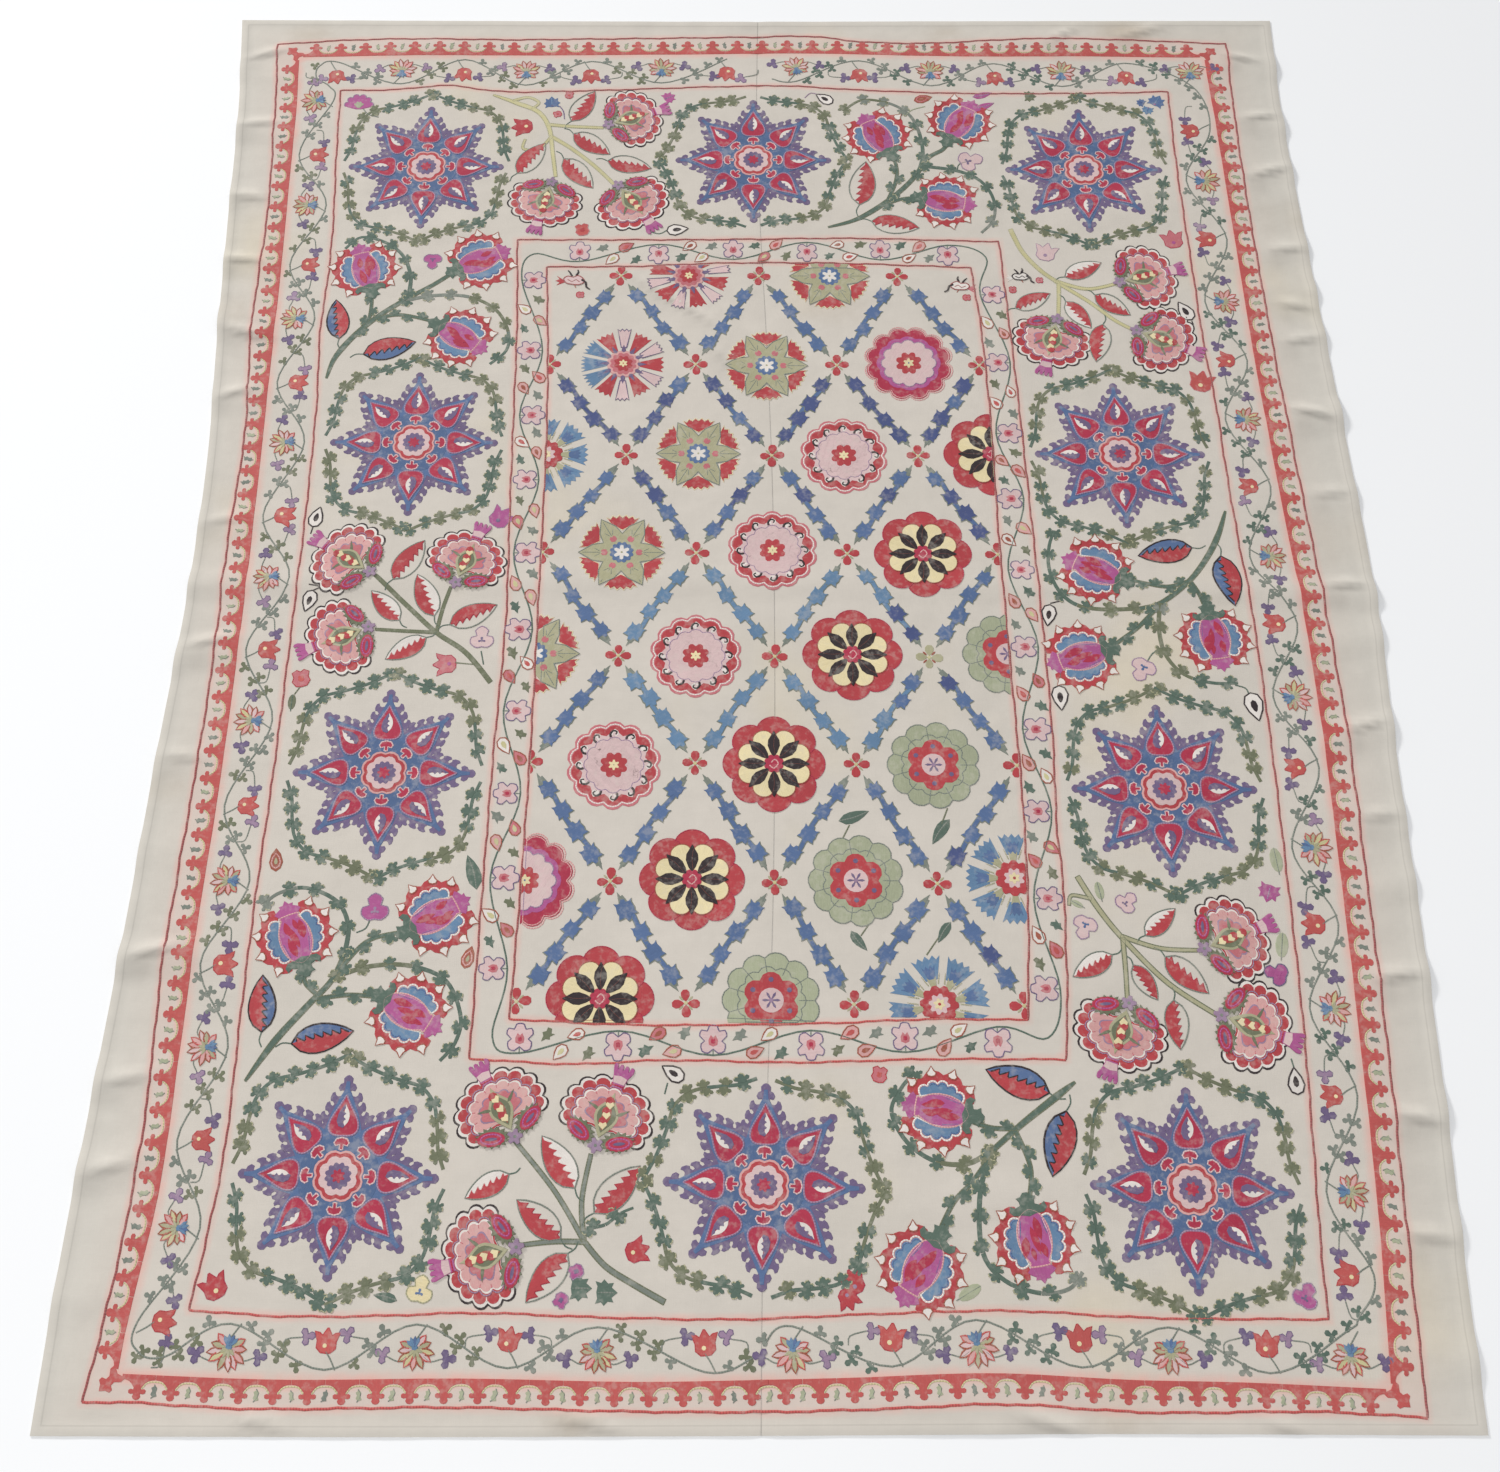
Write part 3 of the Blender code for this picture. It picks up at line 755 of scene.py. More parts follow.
def rose_ring(needle):
    """The ring where other threads were used: rose, violet and pale pink, with no hooks."""
    rim = scalloped(50.5, 57.5, 12, 5)
    needle.fill("crimson", rim, 0, 90)
    needle.line("pink", rim * 1.03, 1.7, 0, closed=True)
    needle.line("pink", rim * 0.96, 1.2, 1, closed=True)
    needle.fill("magenta", scalloped(40, 43, 12, 4, 15), 1, 0)
    disc = scalloped(32, 36.5, 12, 4, 15)
    needle.fill("pale_pink", disc, 2, 60)
    needle.line("mauve", disc, 1.4, 3, closed=True)
    needle.fill("red", scalloped(13.5, 18.0, 8, 4), 3, 90)
    needle.fill("cream", scalloped(5, 8, 6, 3), 4, 0)
    needle.fill("blue", ring(1.8, 6), 5)


def daisy(needle):
    """Eight red petals under eight cream ones, with dark pointed petals on top."""
    lobe = mirrored([16, 26 + 12j, 38 + 19.5j, 49 + 17j, 55.5 + 9j, 57.5], 2)
    inner = mirrored([8, 16 + 6.4j, 26 + 10.6j, 35 + 11.4j, 40.5 + 7j, 42.5], 2)
    dark = mirrored([7, 14 + 4.6j, 22 + 7.4j, 29 + 6.8j, 40 + 0.4j])
    for step in range(8):
        needle.move(turn=45 * step).fill("red", lobe, step % 2, 90)
        needle.move(turn=45 * step).line("crimson", lobe, 1.2, 1 + step % 2, closed=True)
    for step in range(8):
        arm = needle.move(turn=22.5 + 45 * step, level=3)
        arm.fill("cream", inner, step % 2, 0)
        arm.line("rust", inner, 1.1, 1 + step % 2, closed=True)
        needle.move(turn=45 * step, level=5).fill("black", dark, 0, 0)
    needle.fill("crimson", scalloped(9.5, 11.8, 8, 3), 6, 0)
    needle.line("pink", smooth([-5 - 2j, 0 - 6j, 5, 1 + 5j, -3 + 1j], 2, closed=False), 1.6, 7)


def sage_wheel(needle):
    """A sage-green scalloped wheel with a red and violet heart."""
    rim = scalloped(47, 53, 11, 5)
    needle.fill("sage", rim, 0, 90)
    needle.line("grey_green", rim * 0.985, 1.5, 1, closed=True)
    for step in range(11):
        needle.move(turn=360 / 11 * step).line("grey_green", [30, 45], 1.1, 1)
    middle = scalloped(33, 37, 11, 4, 16)
    needle.line("grey_green", middle, 1.4, 1, closed=True)
    needle.fill("red", scalloped(25, 31.5, 6, 5), 1, 90)
    for step in range(6):
        needle.fill("violet", ring(3.4, 7) + polar(22.5, 60 * step + 30), 2)
        needle.move(turn=60 * step).fill("violet", leaf(10.5, 4.0, 0.6, 3), 3, 0)
    needle.fill("pale_pink", ring(14, 18), 2, 0)
    needle.fill("mauve", ring(3.0, 8), 4)


ROSETTE_KINDS = {
    "fans": fans, "plain_fans": plain_fans, "blue_fans": blue_fans, "olive_star": olive_star,
    "hooked_ring": hooked_ring, "rose_ring": rose_ring, "daisy": daisy, "sage_wheel": sage_wheel,
}


def lattice_field():
    for (y, row), (next_y, next_row) in zip(CROSS_ROWS, CROSS_ROWS[1:]):
        for x in row:
            for next_x in next_row:
                if abs(next_x - x) < 120:
                    bar(complex(x, y), complex(next_x, next_y))
    for y, row in CROSS_ROWS:
        for x in row:
            faded = x > 190 and x < 250 and -110 < y < -30
            cross(field_needle(complex(x, y)), "rust" if faded else "olive", "olive" if faded else "red")
    for kind, at, turn in ROSETTES:
        larger = kind in ("daisy", "sage_wheel")
        ROSETTE_KINDS[kind](field_needle(at + 3j if larger else at, turn, 1.06 if larger else 1.0))


# The vines of the borders: the places of the flowers on each side, with the stem's bends between sides
VINE_SWING = 21.5
OUTER_LEFT_VINE = [
    ("far", (-33, -127, -229, -323, -413, -503, -597)),
    ("bend", (-624 + 880j, -626 + 858j, -606 + 842j)),
    ("left", (815, 716, 627, 525, 435, 333, 240, 130, 40, -60, -155, -265, -358, -458, -553, -655, -748,
              -843)),
    ("bend", (-640 - 872j, -610 - 877j)),
    ("near", (-545, -443, -350, -253, -160, -48)),
    ("bend", (2 - 872j,)),
]
OUTER_RIGHT_VINE = [
    ("bend", (32 + 857j,)),
    ("far", (67, 158, 260, 352, 448, 540, 633)),
    ("right", (762, 673, 572, 468, 373, 280, 180, 78, -16, -115, -207, -308, -400, -498, -595, -698, -783)),
    ("bend", (634 - 826j,)),
    ("near", (620, 535, 435, 342, 235, 146, 43)),
    ("bend", (14 - 858j,)),
]
TREFOIL = mirrored([0, 3.0 + 1.0j, 2.6 + 3.0j, 0.8 + 5.6j, 3.4 + 9.2j, 7.4 + 8.4j, 8.4 + 4.8j, 8.2 + 2.4j,
                    12.6 + 4.2j, 16 + 2.2j, 16.2])
TULIP = mirrored([-11, -10.6 + 5.4j, -6 + 10.4j, 1 + 10.2j, 10.5 + 13.8j, 9.4 + 8.4j, 7.0 + 5.2j,
                  14.2 + 0.8j])


def band_middle(side, place):
    """The middle of the outer vine's border at a place along one side."""
    return (on_side(BAND_LINE, side, place) + on_side(SECOND_LINE, side, place)) / 2


def trefoil_leaf(needle, colour, edge=None):
    needle.fill(colour, TREFOIL, 0, 0)
    if edge:
        needle.line(edge, TREFOIL, 0.9, 0, closed=True)


def vine_tulip(needle):
    """A small scarlet tulip with a cream eye, open towards +x."""
    needle.fill("scarlet", TULIP, 0, 0)
    needle.fill("cream", ring(2.9, 7) - 3.5 + 1.5j, 1)
    needle.line("red", TULIP, 1.1, 0, closed=True)


def vine_lotus(needle):
    """A spiky blossom of outlined petals over a grey-blue calyx, open towards +x."""
    for step, angle in enumerate((-128, -98, -68, -42, -16, 12, 40, 66, 96, 126)):
        colour = ("pink", "olive", "pale_pink", "straw")[(step + dice.randrange(2)) % 4]
        length = 21 if abs(angle) < 70 else 17
        petal = leaf(length, 7.0, 0.55, 4)
        arm = needle.move(polar(2.5, angle), angle + dice.uniform(-6, 6))
        arm.fill(colour, petal, step % 2, 0)
        arm.line("rust" if step % 3 else "scarlet", petal[1:-1], 1.8, 1 + step % 2)
    for angle in (-58, -20, 18, 56):
        needle.move(0, angle).fill("olive", leaf(11, 4.6, 0.45, 3), 3, 0)
    needle.fill("light_blue", ring(4.0, 7) - 2, 3)
    for angle in (142, 168, 194, 220):
        needle.move(-2, angle).fill("blue" if angle == 168 else "light_blue", leaf(13, 5.2, 0.55, 3), 4, 0)


def vine_leaves(path, heads, colours):
    """Small leaves in pairs along the outer vine, left out where they would meet a line or a flower."""
    for count, (point, direction) in enumerate(zip(*along_path(path, 20.5, 8.0))):
        colour = colours[int(count * 0.23) % 2]
        for way in (-1, 1):
            turn = direction + way * dice.uniform(50, 82)
            tip = point + polar(15, turn)
            outer_room = frame_depth(BAND_LINE, tip.real, tip.imag)
            inner_room = -frame_depth(SECOND_LINE, tip.real, tip.imag)
            if min(inner_room, outer_room) > 1.5 and np.min(np.abs(heads - tip)) > 24:
                trefoil_leaf(Needle(complex(point), turn, dice.uniform(0.72, 0.88)), colour)


def vine_flower(kind, middle, outward, colours):
    """A tulip that faces in or a lotus that faces out, with its stalk and a violet leaf on each side."""
    along = 1j * outward
    lean = dice.uniform(-14, 14)
    facing = -outward if kind == "tulip" else outward
    head = middle + facing * (5.5 if kind == "tulip" else 3.0)
    turn = math.degrees(cmath.phase(facing)) + lean
    foot = middle - facing * VINE_SWING + along * 11
    root = smooth([foot, head - facing * 16 + along * 5, head - facing * 9], 3, closed=False)
    Needle().line("grey_green", root, 1.6)
    if kind == "tulip":
        vine_tulip(Needle(head, turn, dice.uniform(0.95, 1.1)))
    else:
        vine_lotus(Needle(head, turn, dice.uniform(0.88, 0.98)))
    for way in (-1, 1):
        end = middle + along * way * dice.uniform(26, 29) + facing * dice.uniform(10, 13)
        if kind == "lotus":
            curl = [head + along * way * 9 + facing * 7, head + along * way * 17 + facing * 12, end]
        else:
            curl = [middle + along * way * 45 - facing * 1, middle + along * way * 43 + facing * 8, end]
        Needle().line("grey_green", smooth(curl, 3, closed=False), 1.4)
        toward = math.degrees(cmath.phase(end - curl[1])) + dice.uniform(-15, 15)
        small_leaf = Needle(complex(end), toward, dice.uniform(0.9, 1.05))
        trefoil_leaf(small_leaf, dice.choice(colours), "violet")


def outer_vine(route, kinds, leaf_colours):
    """The waving stem of the outer border, with its two kinds of flower in turn and small leaves."""
    stem, flowers = [], []
    for side, places in route:
        if side == "bend":
            stem += places
            continue
        for place in places:
            kind = kinds[len(flowers) % 2]
            middle = complex(band_middle(side, place))
            swing = VINE_SWING if kind == "tulip" else -VINE_SWING
            stem.append(middle + OUTWARD[side] * swing)
            flowers.append((kind, middle, OUTWARD[side]))
    path = smooth(stem, 8, closed=False)
    Needle().line("grey_green", path, 2.0)
    vine_leaves(path, np.array([middle for _, middle, _ in flowers]), leaf_colours[2:])
    for kind, middle, outward in flowers:
        vine_flower(kind, middle, outward, leaf_colours[:2] + ("violet",))


INNER_VINE = [
    ("far", (-233, -125, -23, 78, 178, 270)),
    ("right", (478, 368, 258, 160, 57, -50, -160, -265, -372, -478)),
    ("near", (275, 172, 67, -42, -148, -258)),
    ("left", (-460, -352, -247, -140, -30, 78, 185, 283, 385, 500)),
]
INNER_CORNERS = {"far": 322 + 540j, "right": 331 - 534j, "near": -289 - 538j, "left": -296 + 544j}
NOTCHED_LEAF = [-7, -3 + 3.2j, -5 + 6.4j, 1 + 4.6j, 3 + 6.8j, 6 + 3j, 11 + 1j, 5 - 1.8j, 3 - 5.2j, -1 - 3j,
                -5 - 4.6j]


def inner_flower(needle):
    """A pale five-lobed flower with a red heart, open towards +x."""
    outline = mirrored([-9, -13 + 5j, -11 + 11j, -4 + 12j, -1 + 8.6j, 4 + 13.4j, 10 + 11.6j, 9 + 6j,
                        14 + 4j, 15], 2)
    needle.fill("pale_pink", outline, 0, 90)
    needle.line("violet", outline, 1.5, 1, closed=True)
    heart = mirrored([-7, -5 + 4.6j, 0 + 5.2j, 5.5 + 2.4j, 3 + 0j])
    needle.fill("rose", heart, 1, 0)
    needle.fill("crimson", heart * 0.5 - 0.6, 2, 0)


def teardrop(needle):
    drop = mirrored([-11, -8 + 6.0j, -1 + 8.0j, 6 + 5.4j, 14])
    needle.fill(dice.choice(("pink", "white", "pink", "rose")), drop, 0, 0)
    needle.fill(dice.choice(("rust", "scarlet", "straw")), mirrored([-6.5, -4 + 3.2j, 1 + 3.6j, 7]), 1, 0)
    needle.line("rust", drop, 1.7, 1, closed=True)


def inner_vine():
    """The waving stem of the inner border, with pale flowers turned to one side and the other."""
    stem = []
    for side, places in INNER_VINE:
        outward = OUTWARD[side]
        for count, place in enumerate(places):
            middle = complex(on_side(INNER_LINE, side, place) + on_side(FIELD_LINE, side, place)) / 2
            along = 1j * outward
            way = 1 if count % 2 else -1
            stem.append(middle + outward * way * 14)
            facing = -outward * way
            inner_flower(Needle(middle + facing * 3, math.degrees(cmath.phase(facing)),
                                dice.uniform(1.02, 1.14)))
            Needle().line("grey_green", [middle + outward * way * 13, middle + outward * way * 7], 1.4)
            if count == len(places) - 1:
                continue
            step = places[count + 1] - place
            for share, across in ((0.30, -1), (0.42, 1), (0.58, -1), (0.72, 1)):
                there = place + step * share
                centre = complex(on_side(INNER_LINE, side, there) + on_side(FIELD_LINE, side, there)) / 2
                at = centre - facing * across * 10
                turn = math.degrees(cmath.phase(along)) + dice.choice((35, -145)) + dice.uniform(-20, 20)
                if share in (0.30, 0.72):
                    small = Needle(at, turn, dice.uniform(0.95, 1.15))
                    small.fill(dice.choice(("moss", "teal", "grey_green")), NOTCHED_LEAF, 0, 0)
                else:
                    teardrop(Needle(at, turn, dice.uniform(0.8, 0.95)))
        stem.append(INNER_CORNERS[side])
    Needle().line("teal", smooth(stem, 7), 2.0, closed=True)


# The large sprays of pomegranates and carnations
def crescent(outer_radius, depth, lobes, start, end, inner):
    """A scalloped crescent: lobes from one angle to another, then back along the inner points."""
    steps = 5
    count = np.arange(lobes * steps + 1)
    share = (count % steps) / steps
    radius = outer_radius - depth + depth * np.sin(math.pi * share) ** 0.7
    angles = np.radians(start + (end - start) * count / count[-1])
    return np.concatenate([radius * np.exp(1j * angles), np.array(inner, complex)])


WING = crescent(45.5, 4.8, 4, 20, 160, [-30 + 10j, -20 + 16j, -2 + 19.5j, 14 + 17j, 27 + 12j])
INNER_WING = crescent(32.5, 3.6, 5, 33, 150, [-24 + 12j, -6 + 16j, 8 + 16j, 22 + 12j])
BULB = mirrored([-33, -31 + 5j, -26 + 11.5j, -13 + 17j, 2 + 17.8j, 14 + 14.5j, 22 + 10j, 26 + 10j], 2)
CROWN = mirrored([20, 21 + 9j, 26 + 11j, 31 + 16j, 34 + 13j, 37 + 7.5j, 40 + 8.5j, 40 + 3.5j, 45])
CALYX = [-25, -27 + 7j, -28 + 17j, -33 + 21j, -39 + 19j, -36 + 13.5j, -38 + 8j, -42 + 8.5j, -46 + 11j,
         -47 + 6j, -51 + 2.6j]


def pomegranate(needle):
    """A cut pomegranate: red scalloped wings, blue inner wings, mottled bulb, crown, calyx and buds."""
    for flip in (False, True):
        half = needle.move(flip=flip, size=dice.uniform(0.97, 1.03))
        half.fill("red", WING, 0, 90)
        half.line("white", INNER_WING * 1.03, 2.0, 1, closed=True)
        half.fill("light_blue", INNER_WING, 1, 20)
        half.line("blue", INNER_WING[6:-2] * 0.93, 1.5, 2)
        for angle in (38, 70, 104, 138):
            bud = half.move(polar(39.5, angle), angle + dice.uniform(-12, 12))
            tip = mirrored([-1, 0 + 4.0j, 3.2 + 5.4j, 5.8 + 3.0j, 11])
            bud.fill("white", tip, 2, 0)
            bud.line("rust", tip, 1.4, 3, closed=True)
    needle.fill("magenta", CROWN, 1, 0)
    needle.line("pink", BULB, 2.0, 2, closed=True)
    needle.fill("magenta", BULB, 2, 0)
    for at, length, width in ((-25 + 4j, 26, 10), (-6 - 9j, 24, 11), (-16 - 2j, 32, 9), (2 + 6j, 18, 9),
                              (6 - 5j, 15, 7)):
        needle.move(at, dice.uniform(-14, 14)).fill("crimson", leaf(length, width, 0.45, 5), 3, 0)
    needle.fill("teal", mirrored(CALYX), 3, 0)


def carnation_petals(needle):
    """Rows of scalloped petals, the largest at the back, with ribs between their lobes."""
    base = [-16 - 12j, -20, -16 + 12j]
    layers = (("black", 50, 4.4, 11, 126, 0), ("white", 48, 4.6, 11, 125, 1), ("red", 45, 4.6, 11, 123, 2),
              ("white", 35, 3.8, 9, 119, 3), ("pink", 33, 3.8, 9, 117, 4), ("mauve", 23.6, 3.0, 7, 110, 5),
              ("rose", 22.0, 2.8, 7, 107, 6))
    for colour, radius, depth, lobes, spread, level in layers:
        shape = crescent(radius, depth, lobes, -spread, spread,
                         [point * (radius / 47) ** 0.5 for point in base[::-1]])
        needle.fill(colour, shape.real * 0.93 - 1 + 1.1j * shape.imag, level, 90)
        if colour == "pink":
            arcs = shape[:-3] * 1.1
            needle.line("mauve", arcs.real * 0.93 - 1 + 1.1j * arcs.imag, 1.4, level + 1)
        if colour in ("red", "pink"):
            for step in range(1, lobes):
                angle = spread * (2 * step / lobes - 1)
                ends = np.array([polar(radius - depth + 0.5, angle), polar(radius - depth - 3, angle)])
                rib = ends.real * 0.93 - 1 + 1.1j * ends.imag
                needle.line("white" if colour == "red" else "rose", rib, 1.4, level + 1, taper=0.5)


def carnation(needle):
    """A carnation seen from the side: white and red scalloped petals around an olive seed case."""
    carnation_petals(needle)
    case = smooth([-25, -25, -14 + 8j, -4 + 13j, 6 + 11.5j, 16 + 4j, 25, 25, 16 - 4j, 6 - 11.5j, -4 - 13j,
                   -14 - 8j], 2)
    needle.fill("olive", case * 1.06, 7, 0)
    needle.fill("moss", case * 0.84, 8, 0)
    needle.fill("rust", case.real * 0.76 + 0.42j * case.imag, 9, 0)
    for way in (-1, 1):
        frond = needle.move(2 + 9j * way, 62 * way)
        frond.fill("moss", leaf(17, 5.0, 0.35, 4, 3), 7, 0)
    for step in range(3):
        seed = needle.move(-12.5 + 11.5 * step, 18)
        seed.fill("red", ring(5.4, 8) + 5, 10, 0)
        seed.fill("cream", mirrored([-4.6, 0.6 + 5.0j, 4.6 + 3.6j, 3.0]), 11, 0)
    for way in (-1, 1):
        pod = needle.move(-25 + 24j * way, 66 * way, level=4)
        fringe = scalloped(11.2, 15.4, 15, 2, sharp=1.0)
        pod.fill("moss", fringe.real * 1.34 + 1j * fringe.imag * 0.80 - 2.0 - 1.6j * way, 3, 0)
        oval = ring(1, 14)
        pod.fill("crimson", oval.real * 16.0 + 1j * oval.imag * 8.6, 4, 0)
        pod.line("magenta", oval.real * 11.4 + 1j * oval.imag * 5.4, 1.6, 5, closed=True)
        pod.fill("violet", oval.real * 7.4 + 1j * oval.imag * 2.4, 5, 0)
    needle.fill("mauve", scalloped(5.4, 9.4, 5, 3) - 35, 9, 0)
    needle.fill("grey_green", ring(2.4, 7) - 35, 10)
    tuft = np.concatenate([[31 - 6j, 44 - 8.5j], teeth(52 - 12.5j, 52 + 12.5j, 4, -6.0, 0.0),
                           [44 + 8.5j, 31 + 6j]])
    needle.fill("magenta", tuft, 5, 0)
    needle.fill("pale_pink", [36 - 6.6j, 44 - 8.2j, 46, 44 + 8.2j, 36 + 6.6j], 6, 0)
    needle.line("crimson", [34 - 6j, 34 + 6j], 1.8, 6)


def half_leaf(base, tip, flip, lower, width=0.47):
    """A leaf with one half red and the other left bare or blue, parted by a serrated line."""
    run = tip - base
    length = abs(run)
    needle = Needle(base, math.degrees(cmath.phase(run)), 1.0, flip)
    outline = leaf(length, length * width, 0.42, 8)
    upper = outline[:9]
    line_start, line_end = length * (0.93 + 0.012j), length * (0.07 + 0.012j)
    teeth_line = teeth(line_start, line_end, 6, length * 0.10, 0.0, SHARP_TOOTH)
    if lower:
        needle.fill("blue", outline, 0, 0)
        needle.fill("red", np.concatenate([upper, teeth_line]), 1, 0)
        needle.line("black", outline, 2.2, 1, closed=True)
        needle.line("black", teeth_line, 1.8, 2)
    else:
        if dice.random() < 0.35:
            needle.fill("white", outline, 0, 0)
        needle.fill("red", np.concatenate([upper, teeth_line]), 1, 0)
        needle.line("crimson", np.concatenate([upper, teeth_line]), 1.0, 0, closed=True)
        needle.line("grey_green", outline, 1.7, 1, closed=True)
    thin = smooth([base, base - run * 0.14 + 1j * run * 0.04, base - run * 0.26], 3, closed=False)
    Needle().line("teal", thin, 1.6)


OLIVE_STEM, DARK_STEM, LEAFY_STEM = "straw", "teal", "leafy"
SPRAY_STEMS = [
    (OLIVE_STEM, 7.5, [-368 + 826j, -335 + 812j, -302 + 795j, -285 + 765j, -278 + 720j, -272 + 678j]),
    (OLIVE_STEM, 5.0, [-288 + 772j, -250 + 768j, -208 + 766j]),
    (OLIVE_STEM, 5.5, [-281 + 750j, -250 + 727j, -218 + 697j, -188 + 663j]),
    (OLIVE_STEM, 4.0, [-340 + 815j, -318 + 822j, -302 + 812j, -312 + 800j]),
    (OLIVE_STEM, 4.0, [-280 + 752j, -298 + 728j, -320 + 728j, -318 + 745j]),
    (DARK_STEM, 7.5, [108 + 591j, 150 + 606j, 195 + 640j, 228 + 676j, 250 + 712j, 272 + 728j, 284 + 748j]),
    (LEAFY_STEM, 5.0, [232 + 678j, 243 + 715j, 240 + 757j, 226 + 792j, 198 + 812j, 160 + 818j, 133 + 797j]),
    (DARK_STEM, 4.5, [190 + 634j, 204 + 672j, 205 + 700j, 196 + 724j]),
    (DARK_STEM, 4.5, [178 + 626j, 215 + 641j, 245 + 640j]),
    (LEAFY_STEM, 5.0, [242 + 698j, 290 + 690j, 322 + 672j, 338 + 640j, 336 + 605j, 318 + 582j]),
    (DARK_STEM, 8.0,
     [-561 + 340j, -553 + 372j, -530 + 408j, -500 + 440j, -465 + 468j, -430 + 492j, -405 + 512j]),
    (DARK_STEM, 4.5, [-530 + 408j, -513 + 435j, -512 + 474j]),
    (LEAFY_STEM, 5.0, [-463 + 470j, -462 + 505j, -475 + 540j, -500 + 562j, -535 + 572j, -556 + 552j]),
    (LEAFY_STEM, 5.0,
     [-470 + 464j, -430 + 474j, -380 + 472j, -342 + 450j, -324 + 415j, -325 + 385j, -346 + 363j]),
    (DARK_STEM, 4.5, [-505 + 436j, -470 + 442j, -428 + 432j]),
    ("moss", 5.5, [-317 - 102j, -350 - 62j, -388 - 35j, -425 + 0j, -470 + 44j]),
    ("moss", 4.0, [-388 - 35j, -382 + 0j, -374 + 28j]),
    ("moss", 4.0, [-388 - 35j, -430 - 33j, -464 - 31j]),
    (DARK_STEM, 8.0, [-560 - 590j, -532 - 545j, -500 - 505j, -475 - 475j, -463 - 442j]),
    (LEAFY_STEM, 5.0, [-464 - 448j, -462 - 412j, -478 - 382j, -515 - 366j, -545 - 372j, -563 - 386j]),
    (DARK_STEM, 4.5, [-490 - 492j, -505 - 478j, -508 - 460j]),
    (DARK_STEM, 4.5, [-472 - 470j, -440 - 430j, -400 - 418j]),
    (LEAFY_STEM, 5.0,
     [-475 - 472j, -430 - 458j, -385 - 458j, -345 - 475j, -326 - 515j, -330 - 545j, -346 - 566j]),
    (DARK_STEM, 4.5, [-492 - 497j, -455 - 492j, -420 - 494j]),
    (OLIVE_STEM, 6.0, [358 + 588j, 372 + 550j, 395 + 518j, 418 + 498j]),
    (OLIVE_STEM, 5.0, [412 + 502j, 455 + 488j, 496 + 497j]),
    (OLIVE_STEM, 5.0, [418 + 500j, 416 + 470j, 413 + 440j]),
    (OLIVE_STEM, 5.0, [414 + 500j, 455 + 468j, 488 + 437j, 515 + 419j]),
    (DARK_STEM, 7.5, [603 + 143j, 590 + 108j, 572 + 75j, 545 + 40j, 510 + 12j, 480 + 3j]),
    (LEAFY_STEM, 5.0, [482 + 4j, 440 + 2j, 405 + 8j, 383 + 28j, 374 + 60j, 376 + 90j, 384 + 114j]),
    (DARK_STEM, 4.5, [548 + 42j, 520 + 33j, 490 + 38j, 465 + 46j]),
    (DARK_STEM, 4.5, [548 + 40j, 558 + 20j, 564 + 2j]),
    (DARK_STEM, 4.5, [506 + 8j, 478 - 22j, 455 - 40j, 440 - 52j]),
    (LEAFY_STEM, 5.0, [508 + 12j, 503 - 25j, 508 - 60j, 528 - 86j, 560 - 97j, 592 - 97j]),
    ("olive", 6.0, [378 - 345j, 400 - 385j, 425 - 420j, 470 - 470j, 522 - 507j]),
    ("olive", 5.0, [422 - 416j, 465 - 430j, 508 - 432j]),
    ("olive", 5.0, [424 - 418j, 424 - 455j, 423 - 490j]),
    ("olive", 4.0, [392 - 372j, 370 - 368j, 366 - 380j]),
    ("grey_green", 6.0, [-91 - 818j, -125 - 800j, -155 - 782j, -180 - 755j]),
    ("grey_green", 5.0, [-178 - 757j, -182 - 715j, -174 - 666j]),
    ("grey_green", 5.0, [-178 - 757j, -212 - 705j, -258 - 652j]),
    ("grey_green", 5.0, [-176 - 758j, -210 - 758j, -245 - 762j]),
    (LEAFY_STEM, 3.5, [-176 - 744j, -156 - 740j, -140 - 728j, -126 - 722j]),
    (DARK_STEM, 8.0, [357 - 583j, 325 - 607j, 295 - 630j, 262 - 658j]),
    (LEAFY_STEM, 5.0, [264 - 656j, 235 - 672j, 200 - 670j, 170 - 650j, 154 - 618j, 165 - 592j, 182 - 573j]),
    (DARK_STEM, 4.5, [266 - 655j, 240 - 690j, 218 - 712j, 200 - 744j]),
    (LEAFY_STEM, 5.0, [258 - 662j, 245 - 710j, 246 - 765j, 268 - 793j, 305 - 805j, 335 - 800j, 350 - 783j]),
    (DARK_STEM, 4.5, [290 - 634j, 265 - 634j, 243 - 628j]),
    (DARK_STEM, 4.5, [288 - 636j, 302 - 675j, 298 - 710j]),
]
BLOOMS = [
    (carnation, -168 + 783j, 20), (carnation, -285 + 634j, -103), (carnation, -163 + 633j, -55),
    (pomegranate, 180 + 753j, 118), (pomegranate, 299 + 778j, 61), (pomegranate, 272 + 636j, -10),
    (pomegranate, -525 + 518j, 107), (pomegranate, -368 + 533j, 27), (pomegranate, -388 + 406j, -32),
    (carnation, -507 + 68j, 147), (carnation, -357 + 66j, 71), (carnation, -505 - 42j, 203),
    (pomegranate, -522 - 424j, 112), (pomegranate, -362 - 398j, 30), (pomegranate, -384 - 512j, -29),
    (carnation, 534 + 508j, 15), (carnation, 402 + 404j, -105), (carnation, 548 + 405j, -24),
    (pomegranate, 431 + 57j, 155), (pomegranate, 404 - 63j, 195), (pomegranate, 571 - 38j, -82),
    (carnation, 547 - 418j, 21), (carnation, 412 - 527j, -110), (carnation, 559 - 519j, -20),
    (carnation, -275 - 618j, 120), (carnation, -158 - 624j, 71), (carnation, -284 - 774j, 196),
    (pomegranate, 206 - 615j, 170), (pomegranate, 302 - 752j, -80), (pomegranate, 180 - 782j, -122),
]
BARE_HALF, BLUE_HALF = False, True
